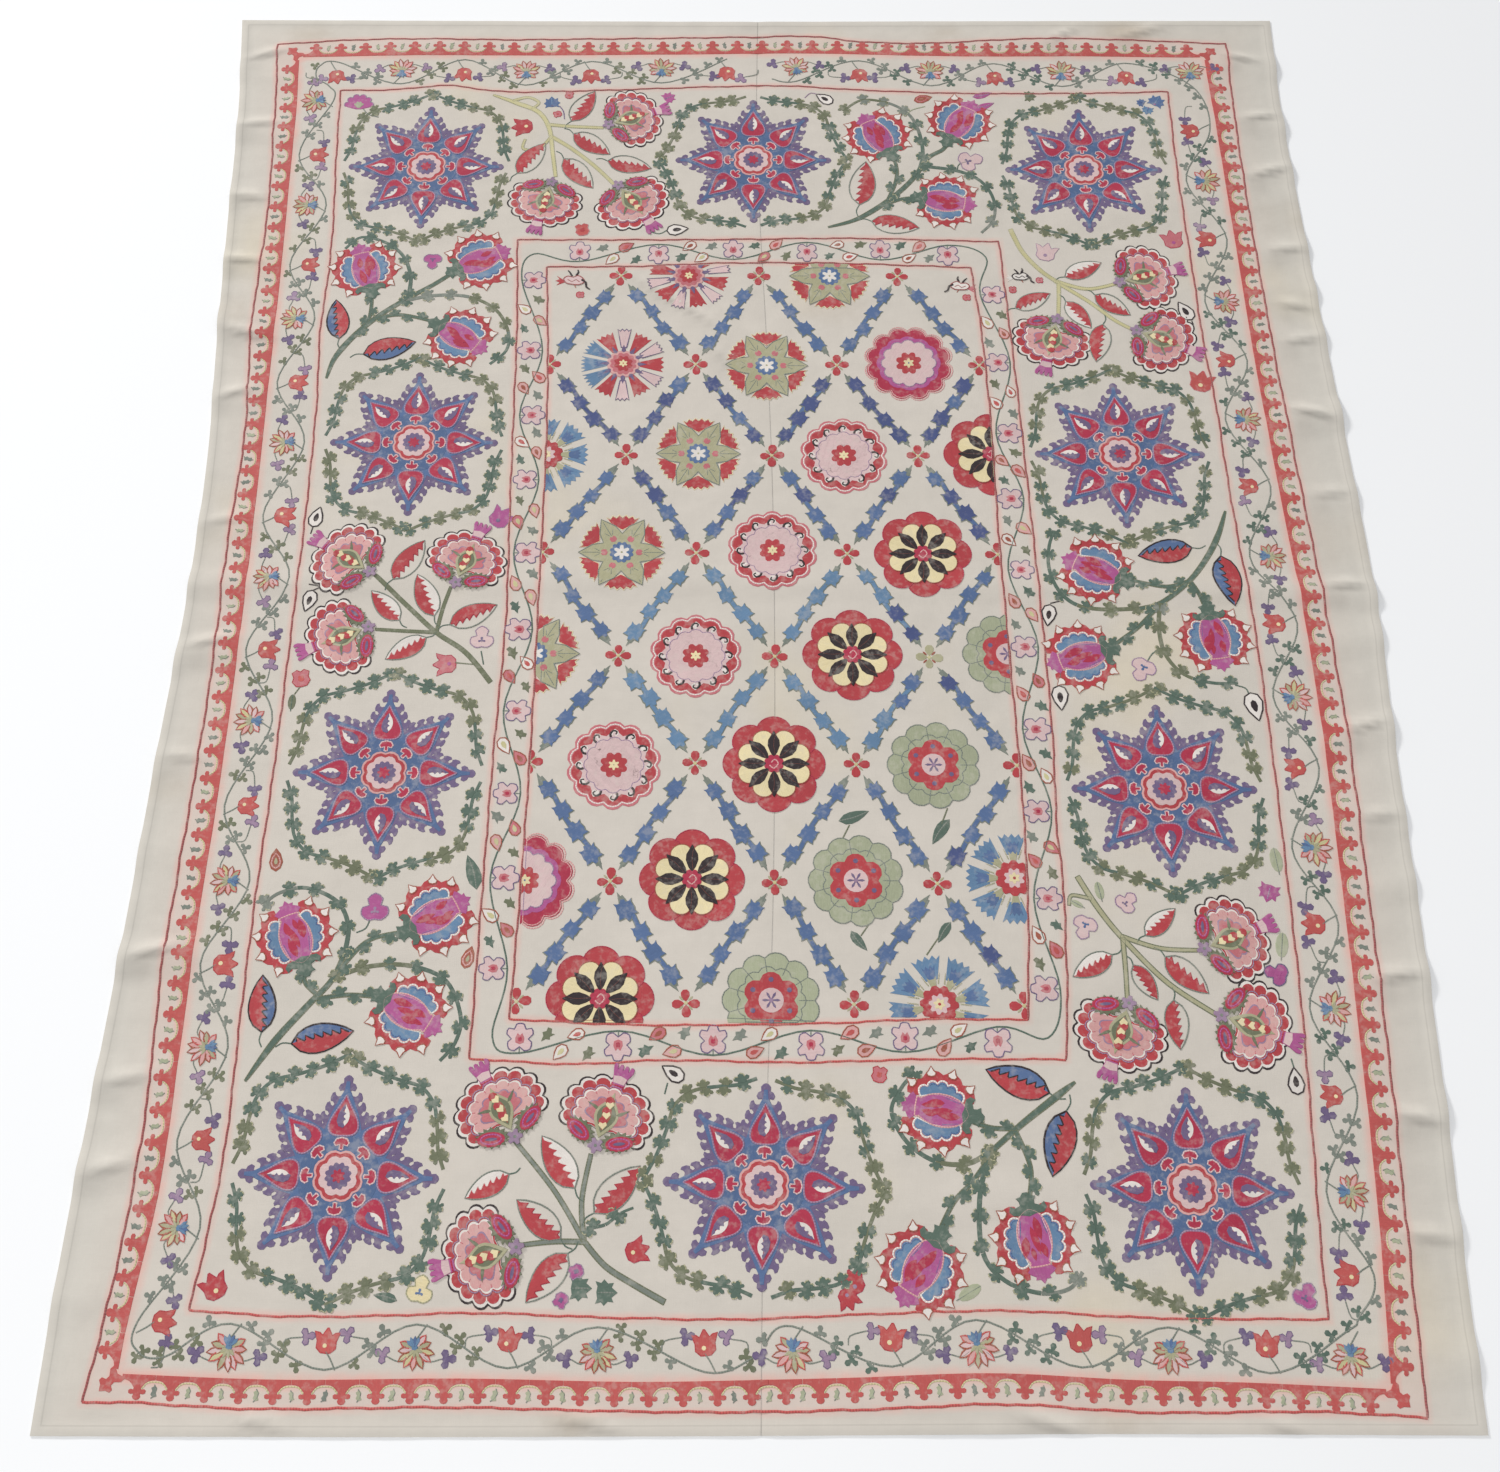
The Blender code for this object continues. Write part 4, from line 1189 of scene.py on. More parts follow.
HALF_LEAVES = [
    (-326 + 684j, -289 + 738j, False, BARE_HALF), (-254 + 778j, -222 + 833j, True, BARE_HALF),
    (-250 + 755j, -197 + 718j, True, BARE_HALF), (-200 + 706j, -138 + 693j, True, BARE_HALF),
    (-262 + 710j, -219 + 658j, True, BARE_HALF), (152 + 630j, 163 + 706j, True, BARE_HALF),
    (168 + 601j, 233 + 590j, False, BARE_HALF), (-550 + 403j, -560 + 466j, True, BLUE_HALF),
    (-515 + 378j, -447 + 398j, False, BLUE_HALF), (-447 + 38j, -412 + 95j, False, BARE_HALF),
    (-392 - 12j, -417 + 45j, False, BARE_HALF), (-435 - 18j, -473 + 22j, False, BARE_HALF),
    (-400 - 42j, -448 - 72j, False, BARE_HALF), (-372 - 24j, -315 + 4j, False, BARE_HALF),
    (-548 - 535j, -554 - 470j, False, BLUE_HALF), (-513 - 548j, -445 - 533j, True, BLUE_HALF),
    (427 + 508j, 478 + 532j, True, BARE_HALF), (357 + 456j, 405 + 480j, False, BARE_HALF),
    (425 + 467j, 456 + 424j, False, BARE_HALF), (465 + 478j, 510 + 445j, True, BARE_HALF),
    (472 + 430j, 458 + 370j, True, BARE_HALF), (555 + 90j, 487 + 78j, False, BLUE_HALF),
    (590 + 78j, 600 + 8j, False, BLUE_HALF), (450 - 415j, 487 - 383j, True, BARE_HALF),
    (410 - 438j, 364 - 464j, False, BARE_HALF), (433 - 450j, 457 - 490j, False, BARE_HALF),
    (470 - 440j, 515 - 482j, True, BARE_HALF), (475 - 490j, 477 - 546j, True, BARE_HALF),
    (-262 - 688j, -308 - 714j, False, BARE_HALF), (-190 - 702j, -228 - 647j, False, BARE_HALF),
    (-168 - 728j, -120 - 678j, True, BARE_HALF), (-203 - 755j, -252 - 715j, False, BARE_HALF),
    (-195 - 770j, -237 - 820j, True, BARE_HALF), (328 - 595j, 260 - 570j, False, BLUE_HALF),
    (345 - 615j, 325 - 685j, False, BLUE_HALF),
]


def sprays():
    for kind, width, points in SPRAY_STEMS:
        if kind == LEAFY_STEM:
            leafy_stem(Needle(), points, width * 1.3, 31, ("teal", "teal", "grey_green", "moss"), taper=0.35)
            continue
        stem = ribbon(smooth(points, 7, closed=False), width, 0.4 if width > 6 else 0.15,
                      0.3 if width > 6 else 1.0)
        Needle().fill(kind, stem, 0, math.degrees(cmath.phase(points[-1] - points[0])))
        Needle().line("olive" if kind == OLIVE_STEM else "moss", stem, 1.4, 0, closed=True)
        if kind == DARK_STEM and width < 5:
            places, directions = along_path(smooth(points, 7, closed=False), 17, 12)
            for count, (point, direction) in enumerate(zip(places, directions)):
                turn = direction + dice.uniform(-12, 12)
                sprig(Needle(point, turn, dice.uniform(0.85, 1.05), count % 2 == 0, level=1), "teal", "olive")
    for bloom, at, turn in BLOOMS:
        bloom(Needle(at, turn, dice.uniform(0.98, 1.03)))
    for base, tip, flip, lower in HALF_LEAVES:
        half_leaf(base, tip, flip, lower)


# Small motifs that fill the spaces between the large ones. All but the eye take three colours,
# of which the plain leaf and the oval one show only two.
def eye(needle):
    """A white drop with a dark outline, a dark core and a thin tail."""
    drop = mirrored([-15, -12 + 6.5j, -4 + 9.5j, 5 + 7j, 14 + 1.5j, 16])
    needle.fill("white", drop, 0, 0)
    needle.line("black", drop, 2.0, 1, closed=True)
    needle.fill("black", mirrored([-7.5, -5 + 3.2j, 0 + 4j, 5 + 2.2j, 7]), 1, 0)


def pansy(needle, petals="mauve", edge="violet", heart="blue"):
    """Three broad lobes with an outline, on a small stalk."""
    outline = smooth([-8, -9 + 7j, -3 + 14j, 5 + 13j, 7 + 6j, 14 + 8j, 20 + 0j, 14 - 8j, 7 - 6j, 5 - 13j,
                      -3 - 14j, -9 - 7j], 2)
    needle.fill(petals, outline, 0, 90)
    needle.line(edge, outline, 1.6, 1, closed=True)
    needle.fill(heart, TREFOIL * 0.55 - 3, 1, 0)


def fan_flower(needle, petals="magenta", edge="mauve", heart="sage"):
    """A half-round flower of scalloped petals."""
    needle.fill(petals, crescent(21, 4, 6, -100, 100, [-7 + 4j, -7 - 4j]), 0, 90)
    needle.line(edge, crescent(21, 4, 6, -100, 100, [])[:-1], 1.6, 1)
    needle.fill(heart, crescent(8, 2, 4, -90, 90, [-5 + 2j, -5 - 2j]), 1, 0)


def small_tulip(needle, petals="red", edge="crimson", heart="cream"):
    needle.fill(petals, TULIP * 1.12, 0, 0)
    needle.line(edge, TULIP * 1.12, 1.1, 0, closed=True)
    needle.fill(heart, ring(3.2, 7) - 4, 1)


def maple_leaf(needle, petals="blue", edge="light_blue", heart="violet"):
    side = [-9, -8 + 6j, -10 + 11j, -4 + 9.5j, -1 + 13j, 3 + 9j, 9 + 9.5j, 7 + 5j, 13 + 0j]
    needle.fill(petals, mirrored(side), 0, 0)
    needle.line(edge, [-7, 8], 1.4, 1)
    needle.fill(heart, ring(2.2, 6) - 6, 1)


def plain_leaf(needle, petals="moss", edge="olive", heart="grey_green"):
    needle.fill(petals, leaf(30, 12, 0.4, 5, 4) - 15, 0, 0)
    needle.line(edge, smooth([-14, 0 + 0.5j, 13 + 3.4j], 3, closed=False), 1.4, 1)


def drop_leaf(needle, petals="rust", edge="pink", heart="scarlet"):
    drop = mirrored([-14, -10 + 6j, -2 + 8.6j, 8 + 6j, 16])
    needle.fill(petals, drop, 0, 0)
    needle.line(edge, drop * 0.62 - 1, 1.7, 1, closed=True)
    needle.fill(heart, drop * 0.32 - 1, 1, 0)


def heart_flower(needle, petals="rose", edge="red", heart="scarlet"):
    shape = mirrored([-10, -9 + 6j, -3 + 10j, 2 + 8j, 8 + 9.5j, 11 + 4j, 8.5])
    needle.fill(petals, shape, 0, 0)
    needle.line(edge, shape, 1.2, 1, closed=True)
    needle.fill(heart, shape * 0.4, 1, 0)


def oval_leaf(needle, petals="sage", edge="grey_green", heart="sage"):
    oval = ring(1, 12)
    needle.fill(petals, oval.real * 14 + 1j * oval.imag * 7, 0, 0)
    needle.line(edge, [-16, 12], 1.1, 1)


MAGENTAS = ("magenta", "mauve", "violet")
PALE_PINKS = ("pale_pink", "mauve", "violet")
TEALS = ("teal", "grey_green", "teal")
DARK_GREENS = ("teal", "grey_green", "moss")
FILLERS = [
    (fan_flower, -560 + 806j, 90, 1.0), (small_tulip, -322 + 768j, 188, 1.05),
    (maple_leaf, -283 + 812j, 95, 0.95), (heart_flower, -259 + 826j, 80, 0.6),
    (heart_flower, -274 + 791j, 200, 0.55), (maple_leaf, -116 + 822j, 30, 0.85, *MAGENTAS),
    (heart_flower, -231 + 585j, 100, 0.95, "scarlet", "rose", "red"), (eye, 107 + 820j, 145, 0.9),
    (eye, -100 + 586j, 8, 0.95), (eye, 584 + 452j, 118, 1.05), (eye, -553 + 128j, 75, 0.95),
    (eye, -550 + 8j, -105, 0.95), (eye, 608 - 128j, -80, 1.2), (eye, 375 - 118j, -88, 1.05),
    (eye, 369 - 6j, -100, 0.95), (eye, 600 - 580j, 92, 0.95), (eye, -86 - 577j, 148, 0.9),
    (pansy, 305 + 706j, 20, 1.15, *PALE_PINKS), (drop_leaf, 247 + 820j, 15, 0.95, "rust", "rose", "rust"),
    (plain_leaf, 333 + 826j, 8, 1.0, *MAGENTAS), (plain_leaf, 336 + 806j, 14, 1.0, *MAGENTAS),
    (maple_leaf, 400 + 825j, 0, 0.8, "moss", "teal", "moss"),
    (maple_leaf, 580 + 816j, 60, 1.0, "blue", "light_blue", "magenta"),
    (maple_leaf, 566 + 800j, 250, 0.7, "light_blue", "blue", "magenta"),
    (maple_leaf, 558 + 814j, 150, 0.6, "blue", "navy", "navy"),
    (small_tulip, 579 + 570j, 100, 1.05, "rose", "crimson", "magenta"),
    (small_tulip, 404 + 548j, 75, 1.05, "pale_pink", "mauve", "mauve"),
    (small_tulip, 593 + 338j, 75, 1.15, "scarlet", "rose", "cream"), (heart_flower, 355 + 486j, 90, 0.5),
    (heart_flower, 392 + 502j, 0, 0.45, "rose", "crimson", "red"),
    (pansy, -434 + 535j, -90, 0.85, *MAGENTAS), (small_tulip, -318 + 128j, 52, 1.1, *MAGENTAS),
    (small_tulip, -567 - 808j, 120, 1.0, "red", "crimson", "cream"),
    (pansy, 580 - 808j, 60, 0.9, *MAGENTAS), (heart_flower, -549 - 99j, 100, 1.1),
    (oval_leaf, -557 - 130j, 88, 0.75, "moss", "teal", "moss"),
    (small_tulip, -373 - 78j, 185, 1.0, "rose", "crimson", "magenta"),
    (pansy, -331 - 46j, 92, 1.0, *PALE_PINKS), (drop_leaf, -554 - 333j, 95, 1.0, "rust", "pink", "olive"),
    (drop_leaf, -322 - 448j, 75, 0.95, "rust", "pink", "olive"),
    (pansy, -433 - 394j, 92, 1.1, "magenta", "mauve", "mauve"), (plain_leaf, -321 - 345j, 100, 1.5, *TEALS),
    (pansy, -350 - 812j, 80, 0.95, "cream", "olive", "blue"), (plain_leaf, -385 - 815j, 160, 0.9, *TEALS),
    (maple_leaf, -181 - 805j, 0, 1.05, *TEALS), (small_tulip, -122 - 767j, 20, 0.9),
    (heart_flower, -185 - 788j, 200, 0.75, *MAGENTAS), (heart_flower, -200 - 817j, 240, 0.75, *MAGENTAS),
    (maple_leaf, -154 - 809j, 0, 1.05, *TEALS), (heart_flower, 142 - 577j, 80, 0.85),
    (small_tulip, 108 - 797j, 112, 0.9, "red", "crimson", "mauve"),
    (small_tulip, 102 - 812j, -68, 0.8, "red", "crimson", "mauve"), (oval_leaf, 230 - 805j, 30, 1.0),
    (pansy, 480 - 76j, 240, 1.05, "pale_pink", "mauve", "blue"), (pansy, 430 - 378j, 45, 0.85, *PALE_PINKS),
    (pansy, 383 - 402j, 250, 0.95, "pale_pink", "mauve", "blue"), (oval_leaf, 402 - 362j, 100, 0.8),
    (oval_leaf, 375 - 378j, 150, 0.6), (oval_leaf, 610 - 323j, 95, 1.1), (oval_leaf, 604 - 425j, 80, 1.1),
    (maple_leaf, 597 - 362j, 250, 1.05, "magenta", "mauve", "magenta"),
    (pansy, 597 - 460j, 160, 0.9, "magenta", "violet", "magenta"),
    (plain_leaf, 122 - 275j, 12, 1.3, *DARK_GREENS), (plain_leaf, 221 - 290j, 228, 1.3, *DARK_GREENS),
    (plain_leaf, 122 - 425j, 300, 1.0, *DARK_GREENS), (plain_leaf, 220 - 412j, 230, 1.0, *DARK_GREENS),
]
THIN_STALKS = [
    ("teal", [-113 + 586j, -125 + 579j, -140 + 584j]), ("mauve", [102 + 826j, 88 + 831j, 79 + 822j]),
    ("teal", [290 + 690j, 294 + 702j, 312 + 708j]), ("black", [591 + 436j, 592 + 428j, 584 + 420j]),
    ("black", [-556 + 114j, -558 + 104j]), ("black", [-546 + 22j, -538 + 27j, -552 + 30j]),
    ("teal", [375 - 102j, 378 - 85j]), ("teal", [603 - 112j, 600 - 104j, 588 - 100j]),
    ("black", [372 + 10j, 384 + 13j]), ("teal", [598 - 555j, 600 - 566j]),
    ("teal", [-95 - 600j, -92 - 588j]), ("teal", [505 - 50j, 492 - 58j, 484 - 70j]),
    ("teal", [-438 - 404j, -442 - 414j, -452 - 419j]), ("teal", [-327 - 78j, -331 - 60j]),
    ("moss", [-340 - 78j, -362 - 76j]), ("violet", [-272 + 806j, -266 + 796j, -264 + 782j]),
    ("moss", [-549 - 110j, -555 - 120j]), ("moss", [232 - 262j, 224 - 282j]),
    ("moss", [108 - 300j, 116 - 284j]), ("moss", [135 - 405j, 126 - 418j]),
    ("moss", [200 - 440j, 214 - 420j]), ("sage", [250 + 806j, 232 + 800j, 222 + 790j]),
    ("grey_green", [-553 + 800j, -545 + 790j, -530 + 785j]),
]


def bird(needle, body, edge, tail):
    """A small bird with a fanned tail, raised wings and a bent head."""
    needle.fill(tail, [-13, -24 + 8j, -20 + 2j, -26 - 1j, -20 - 4j, -24 - 9j, -12 - 4j], 0, 0)
    outline = smooth([-14 + 2j, -8 + 7j, 0 + 5j, 6 + 8j, 13 + 4j, 16 - 3j, 8 - 8j, -2 - 7j, -10 - 5j], 2)
    needle.fill(body, outline, 1, 0)
    needle.line(edge, outline, 1.7, 2, closed=True)
    needle.line(edge, [-8 + 1j, -2 - 3j, 4 + 1j, 9 - 3j], 1.4, 2)
    needle.line("black", [-2 + 7j, -5 + 13j, -8 + 17j], 3.0, 1, taper=0.5)
    needle.line("black", [4 + 8j, 7 + 14j, 6 + 18j], 3.4, 1, taper=0.5)
    needle.line("black", [12 + 1j, 18 - 4j, 19 - 12j, 24 - 16j], 3.6, 2, taper=0.4)
    needle.line("rust", [2 - 8j, 4 - 13j], 1.4, 0)


def small_motifs():
    for motif, at, turn, size, *colours in FILLERS:
        motif(Needle(at, turn, size), *colours)
    for colour, points in THIN_STALKS:
        Needle().line(colour, smooth(points, 3, closed=False), 1.7)
    bird(Needle(-240 + 500j, 0, 0.95), "pale_pink", "russet", "red")
    bird(Needle(285 + 492j, 170, 0.85, flip=True), "white", "russet", "rose")
    bird(Needle(366 + 508j, 5, 0.75), "white", "black", "white")
    heart_flower(Needle(-230 + 476j, 0, 0.5))
    heart_flower(Needle(292 + 473j, 0, 0.5))


# The ground cloth

HEM = 0.0095
PANEL_WIDTH = 0.75
HEM_RISE = 0.0006
EDGE_DROP = 0.0007
SEAM_DROP = 0.0005
CLOTH_COLUMNS = [0.0, 0.004, HEM, HEM + 0.002] + list(np.linspace(0.0195, 0.760, 58))
CLOTH_ROWS = [0.0, 0.004, HEM, HEM + 0.002] + list(np.linspace(0.0195, 1.9005, 300))
CLOTH_ROWS += [1.92 - row for row in (HEM + 0.002, HEM, 0.004, 0.0)]


def cloth_places(shares, side):
    """Where the points of a panel's grid lie, from their shares of its width and length."""
    columns, rows = np.array(CLOTH_COLUMNS) / CLOTH_COLUMNS[-1], np.array(CLOTH_ROWS) / CLOTH_ROWS[-1]
    across = columns[np.rint(shares[:, 0] * (len(columns) - 1)).astype(int)]
    along = rows[np.rint(shares[:, 1] * (len(rows) - 1)).astype(int)]
    guess = side * PANEL_WIDTH * (1 - across)
    y = eased(NEAR_END, guess) + (eased(FAR_END, guess) - eased(NEAR_END, guess)) * along
    edge = eased(LEFT_EDGE if side < 0 else RIGHT_EDGE, y)
    seam = eased(SEAM, y) + side * SEAM_GAP / 2
    x = edge + (seam - edge) * across
    return zip(x, y, cloth_height(x, y))


def cloth_mesh(name, side):
    """One panel as a thin sheet, laid on the solid's folds, with its turned hem and seam edge."""
    sheet = bmesh.new()
    bmesh.ops.create_grid(sheet, x_segments=len(CLOTH_COLUMNS) - 1, y_segments=len(CLOTH_ROWS) - 1, size=0.5)
    shares = np.array([vert.co[:2] for vert in sheet.verts]) + 0.5
    for vert, place in zip(sheet.verts, cloth_places(shares, side)):
        vert.co = place
    top = bmesh.ops.extrude_face_region(sheet, geom=sheet.faces[:])
    raised = [part for part in top["geom"] if isinstance(part, bmesh.types.BMVert)]
    bmesh.ops.translate(sheet, verts=raised, vec=(0, 0, THICKNESS))
    for vert in raised:
        vert.co.z += hem_rise(vert.co.x, vert.co.y, side)
    bmesh.ops.recalc_face_normals(sheet, faces=sheet.faces[:])
    mesh = bpy.data.meshes.new(name)
    sheet.to_mesh(mesh)
    sheet.free()
    return mesh


def write_distances(mesh, side):
    """Each point's distances, in millimetres, from the stitched lines and the edges, with its height and the
    painted crease shade and highlight, for the finish.
    """
    places = read_points(mesh)
    x, y, height = places.T
    chart = x / MM - CHART_SHIFT.real, y / MM - CHART_SHIFT.imag
    outer, band, second, inner, field = [frame_depth(line, *chart) for line in FRAMES]
    free, from_seam = cloth_edges(x, y, side)
    write_vectors(mesh, "outer_lines", [outer, band, second])
    write_vectors(mesh, "inner_lines", [inner, field, from_seam / MM])
    # The third part of edges is painted shade and painted highlight along the creases.
    write_vectors(mesh, "edges", [free / MM, height / MM, crease_shade(x, y)])


def lay_cloth(name, outer, node):
    """One panel of ground cloth in place of its solid."""
    side = -1 if outer == "left" else 1
    mesh = cloth_mesh(name, side)
    write_distances(mesh, side)
    mesh.shade_smooth()
    mesh.set_sharp_from_angle(angle=math.radians(50))
    cloth = bpy.data.objects.new(name, mesh)
    bpy.context.scene.collection.objects.link(cloth)
    cloth.data.materials.append(ground_cloth())
    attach(cloth, "root")
    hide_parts(node)
    return cloth


def crease_shade(x, y):
    """Painted shade on the near side of each crease, with a broader painted shadow beside it, and a painted
    highlight on its far side.
    """
    nearer = [Wrinkle(fold.start - 0.006j, fold.end - 0.006j, 0.008, fold.height * 400) for fold in CREASES]
    farther = [Wrinkle(fold.start + 0.006j, fold.end + 0.006j, 0.012, -fold.height * 160) for fold in CREASES]
    broad = [Wrinkle(fold.start - 0.020j, fold.end * 0.6 + fold.start * 0.4 - 0.024j, 0.026,
                     fold.height * 130) for fold in CREASES]
    return wrinkle_lift(x, y, nearer + farther + broad)


def cloth_edges(x, y, side):
    """Distances from the nearest free edge and from the seam."""
    outer = x - eased(LEFT_EDGE, y) if side < 0 else eased(RIGHT_EDGE, y) - x
    free = np.minimum(outer, np.minimum(y - eased(NEAR_END, x), eased(FAR_END, x) - y))
    return free, np.abs(x - eased(SEAM, y))


def hem_rise(x, y, side):
    """How far the turned hem stands above the cloth, and how far its edge and the seam sink."""
    free, from_seam = cloth_edges(x, y, side)
    rise = HEM_RISE if free < HEM + 0.0005 else 0.0
    rise -= EDGE_DROP if free < 0.001 else 0.0
    rise -= SEAM_DROP * float(swell(from_seam, 0.004))
    return rise


def read_points(mesh):
    flat = np.empty(len(mesh.vertices) * 3, np.float32)
    mesh.vertices.foreach_get("co", flat)
    return flat.reshape(-1, 3).astype(float)


def write_points(mesh, places):
    mesh.vertices.foreach_set("co", places.astype(np.float32).ravel())
    mesh.update()


def write_vectors(mesh, name, columns):
    layer = mesh.attributes.new(name, "FLOAT_VECTOR", "POINT")
    layer.data.foreach_set("vector", np.stack(columns, 1).astype(np.float32).ravel())


# Embroidery made solid

PATCH_RISE = 0.00045
LEVEL_STEP = 0.0002
PATCH_DEPTH = 0.00075
RIM = 0.0007
LONGEST_EDGE = 0.013
LINE_RISE = 0.00025
LINE_FLATTEN = 0.45
LINE_TIP = 0.05


def fill_mesh(name, work):
    """All patches of one thread: raised, rimmed and closed, then laid on the cloth."""
    shape = bmesh.new()
    grain = shape.faces.layers.float_vector.new("grain")
    for patch in work:
        outline = (patch.outline + CHART_SHIFT) * MM
        turning = (outline * np.conj(np.roll(outline, 1))).imag.sum()
        outline = outline if turning > 0 else outline[::-1]
        base = PATCH_RISE + LEVEL_STEP * patch.level - PATCH_DEPTH
        face = shape.faces.new([shape.verts.new((point.real, point.imag, base)) for point in outline])
        angle = math.radians(patch.grain)
        face[grain] = (math.cos(angle), math.sin(angle), patch.tone)
    shape.normal_update()
    bmesh.ops.inset_individual(shape, faces=shape.faces[:], thickness=RIM, depth=PATCH_DEPTH,
                               use_even_offset=False)
    open_edges = [edge for edge in shape.edges if edge.is_boundary]
    bmesh.ops.holes_fill(shape, edges=open_edges, sides=0)
    bmesh.ops.triangulate(shape, faces=[face for face in shape.faces if len(face.verts) > 4],
                          ngon_method="BEAUTY")
    for _ in range(5):
        long_edges = [edge for edge in shape.edges if edge.calc_length() > LONGEST_EDGE]
        if not long_edges:
            break
        bmesh.ops.subdivide_edges(shape, edges=long_edges, cuts=1)
        bmesh.ops.triangulate(shape, faces=[face for face in shape.faces if len(face.verts) > 3])
    bmesh.ops.recalc_face_normals(shape, faces=shape.faces[:])
    mesh = bpy.data.meshes.new(name)
    shape.to_mesh(mesh)
    shape.free()
    return lay_on_cloth(mesh, 1.0)


def line_mesh(name, work):
    """All lines of one thread: round strands, pressed flat and laid on the cloth."""
    curve = bpy.data.curves.new(name, "CURVE")
    curve.dimensions = "3D"
    curve.twist_mode = "Z_UP"
    curve.bevel_depth = MM
    curve.bevel_resolution = 0
    runs = []
    for strand in work:
        points = (strand.points + CHART_SHIFT) * MM
        lift = (LINE_RISE + LEVEL_STEP * strand.level) / LINE_FLATTEN
        ahead = (points[1] - points[0]) * LINE_TIP
        behind = (points[-1] - points[-2]) * LINE_TIP
        points = np.concatenate([[points[0] - ahead], points, [points[-1] + behind]])
        radii = np.concatenate([[LINE_TIP], strand.radii, [LINE_TIP]])
        spline = curve.splines.new("POLY")
        spline.points.add(len(points) - 1)
        flat = np.stack([points.real, points.imag, np.full(len(points), lift), np.ones(len(points))], 1)
        spline.points.foreach_set("co", flat.ravel())
        spline.points.foreach_set("radius", radii)
        length = np.concatenate([[0], np.cumsum(np.abs(np.diff(points)))]) / MM
        runs.append(np.stack([np.repeat(length, 4), np.tile([0.0, -1.0, 0.0, 1.0], len(points)),
                              np.full(len(points) * 4, strand.tone)], 1))
    holder = bpy.data.objects.new(name + "_guide", curve)
    bpy.context.scene.collection.objects.link(holder)
    evaluated = holder.evaluated_get(bpy.context.evaluated_depsgraph_get())
    mesh = bpy.data.meshes.new_from_object(evaluated)
    mesh.name = name
    bpy.data.objects.remove(holder, do_unlink=True)
    bpy.data.curves.remove(curve)
    write_vectors(mesh, "run", np.concatenate(runs).T)
    shape = bmesh.new()
    shape.from_mesh(mesh)
    ends = [edge for edge in shape.edges if edge.is_boundary]
    bmesh.ops.holes_fill(shape, edges=ends, sides=0)
    bmesh.ops.recalc_face_normals(shape, faces=shape.faces[:])
    shape.to_mesh(mesh)
    shape.free()
    return lay_on_cloth(mesh, LINE_FLATTEN)


def lay_on_cloth(mesh, flatten):
    places = read_points(mesh)
    x, y = places[:, 0], places[:, 1]
    places[:, 2] = places[:, 2] * flatten + cloth_height(x, y) + THICKNESS
    write_points(mesh, places)
    mesh.shade_smooth()
    mesh.set_sharp_from_angle(angle=math.radians(32))
    return mesh


# Thread and cloth finishes

def linear(colour):
    """Display colour, 0 to 255, as the linear colour that shaders use."""
    share = [part / 255 for part in colour]
    return [part / 12.92 if part <= 0.04045 else ((part + 0.055) / 1.055) ** 2.4 for part in share] + [1.0]


SILKS = {
    "red": (174, 62, 67), "scarlet": (184, 84, 80), "crimson": (170, 48, 72), "rose": (188, 108, 114),
    "pink": (206, 156, 152), "pale_pink": (208, 180, 178), "magenta": (168, 84, 136),
    "mauve": (150, 124, 148), "violet": (108, 92, 124), "blue": (84, 106, 144),
    "light_blue": (98, 128, 158), "navy": (72, 82, 124), "teal": (86, 104, 92), "moss": (108, 112, 88),
    "olive": (166, 162, 130), "sage": (162, 166, 138), "grey_green": (120, 126, 116),
    "straw": (194, 186, 140), "cream": (224, 208, 164), "white": (222, 214, 206), "black": (48, 38, 40),
    "russet": (152, 84, 82), "rust": (154, 84, 66),
}


class Value:
    """A socket in a material, on which sums are written as plain Python."""

    def __init__(self, paint, socket):
        self.paint = paint
        self.socket = socket

    def math(self, operation, *others):
        return self.paint.node("ShaderNodeMath", {"operation": operation}, dict(enumerate((self,) + others)))

    def __add__(self, other):
        return self.math("ADD", other)

    def __sub__(self, other):
        return self.math("SUBTRACT", other)

    def __rsub__(self, other):
        return self.paint.node("ShaderNodeMath", {"operation": "SUBTRACT"}, {0: other, 1: self})

    def __mul__(self, other):
        return self.math("MULTIPLY", other)

    def __truediv__(self, other):
        return self.math("DIVIDE", other)

    __radd__ = __add__
    __rmul__ = __mul__


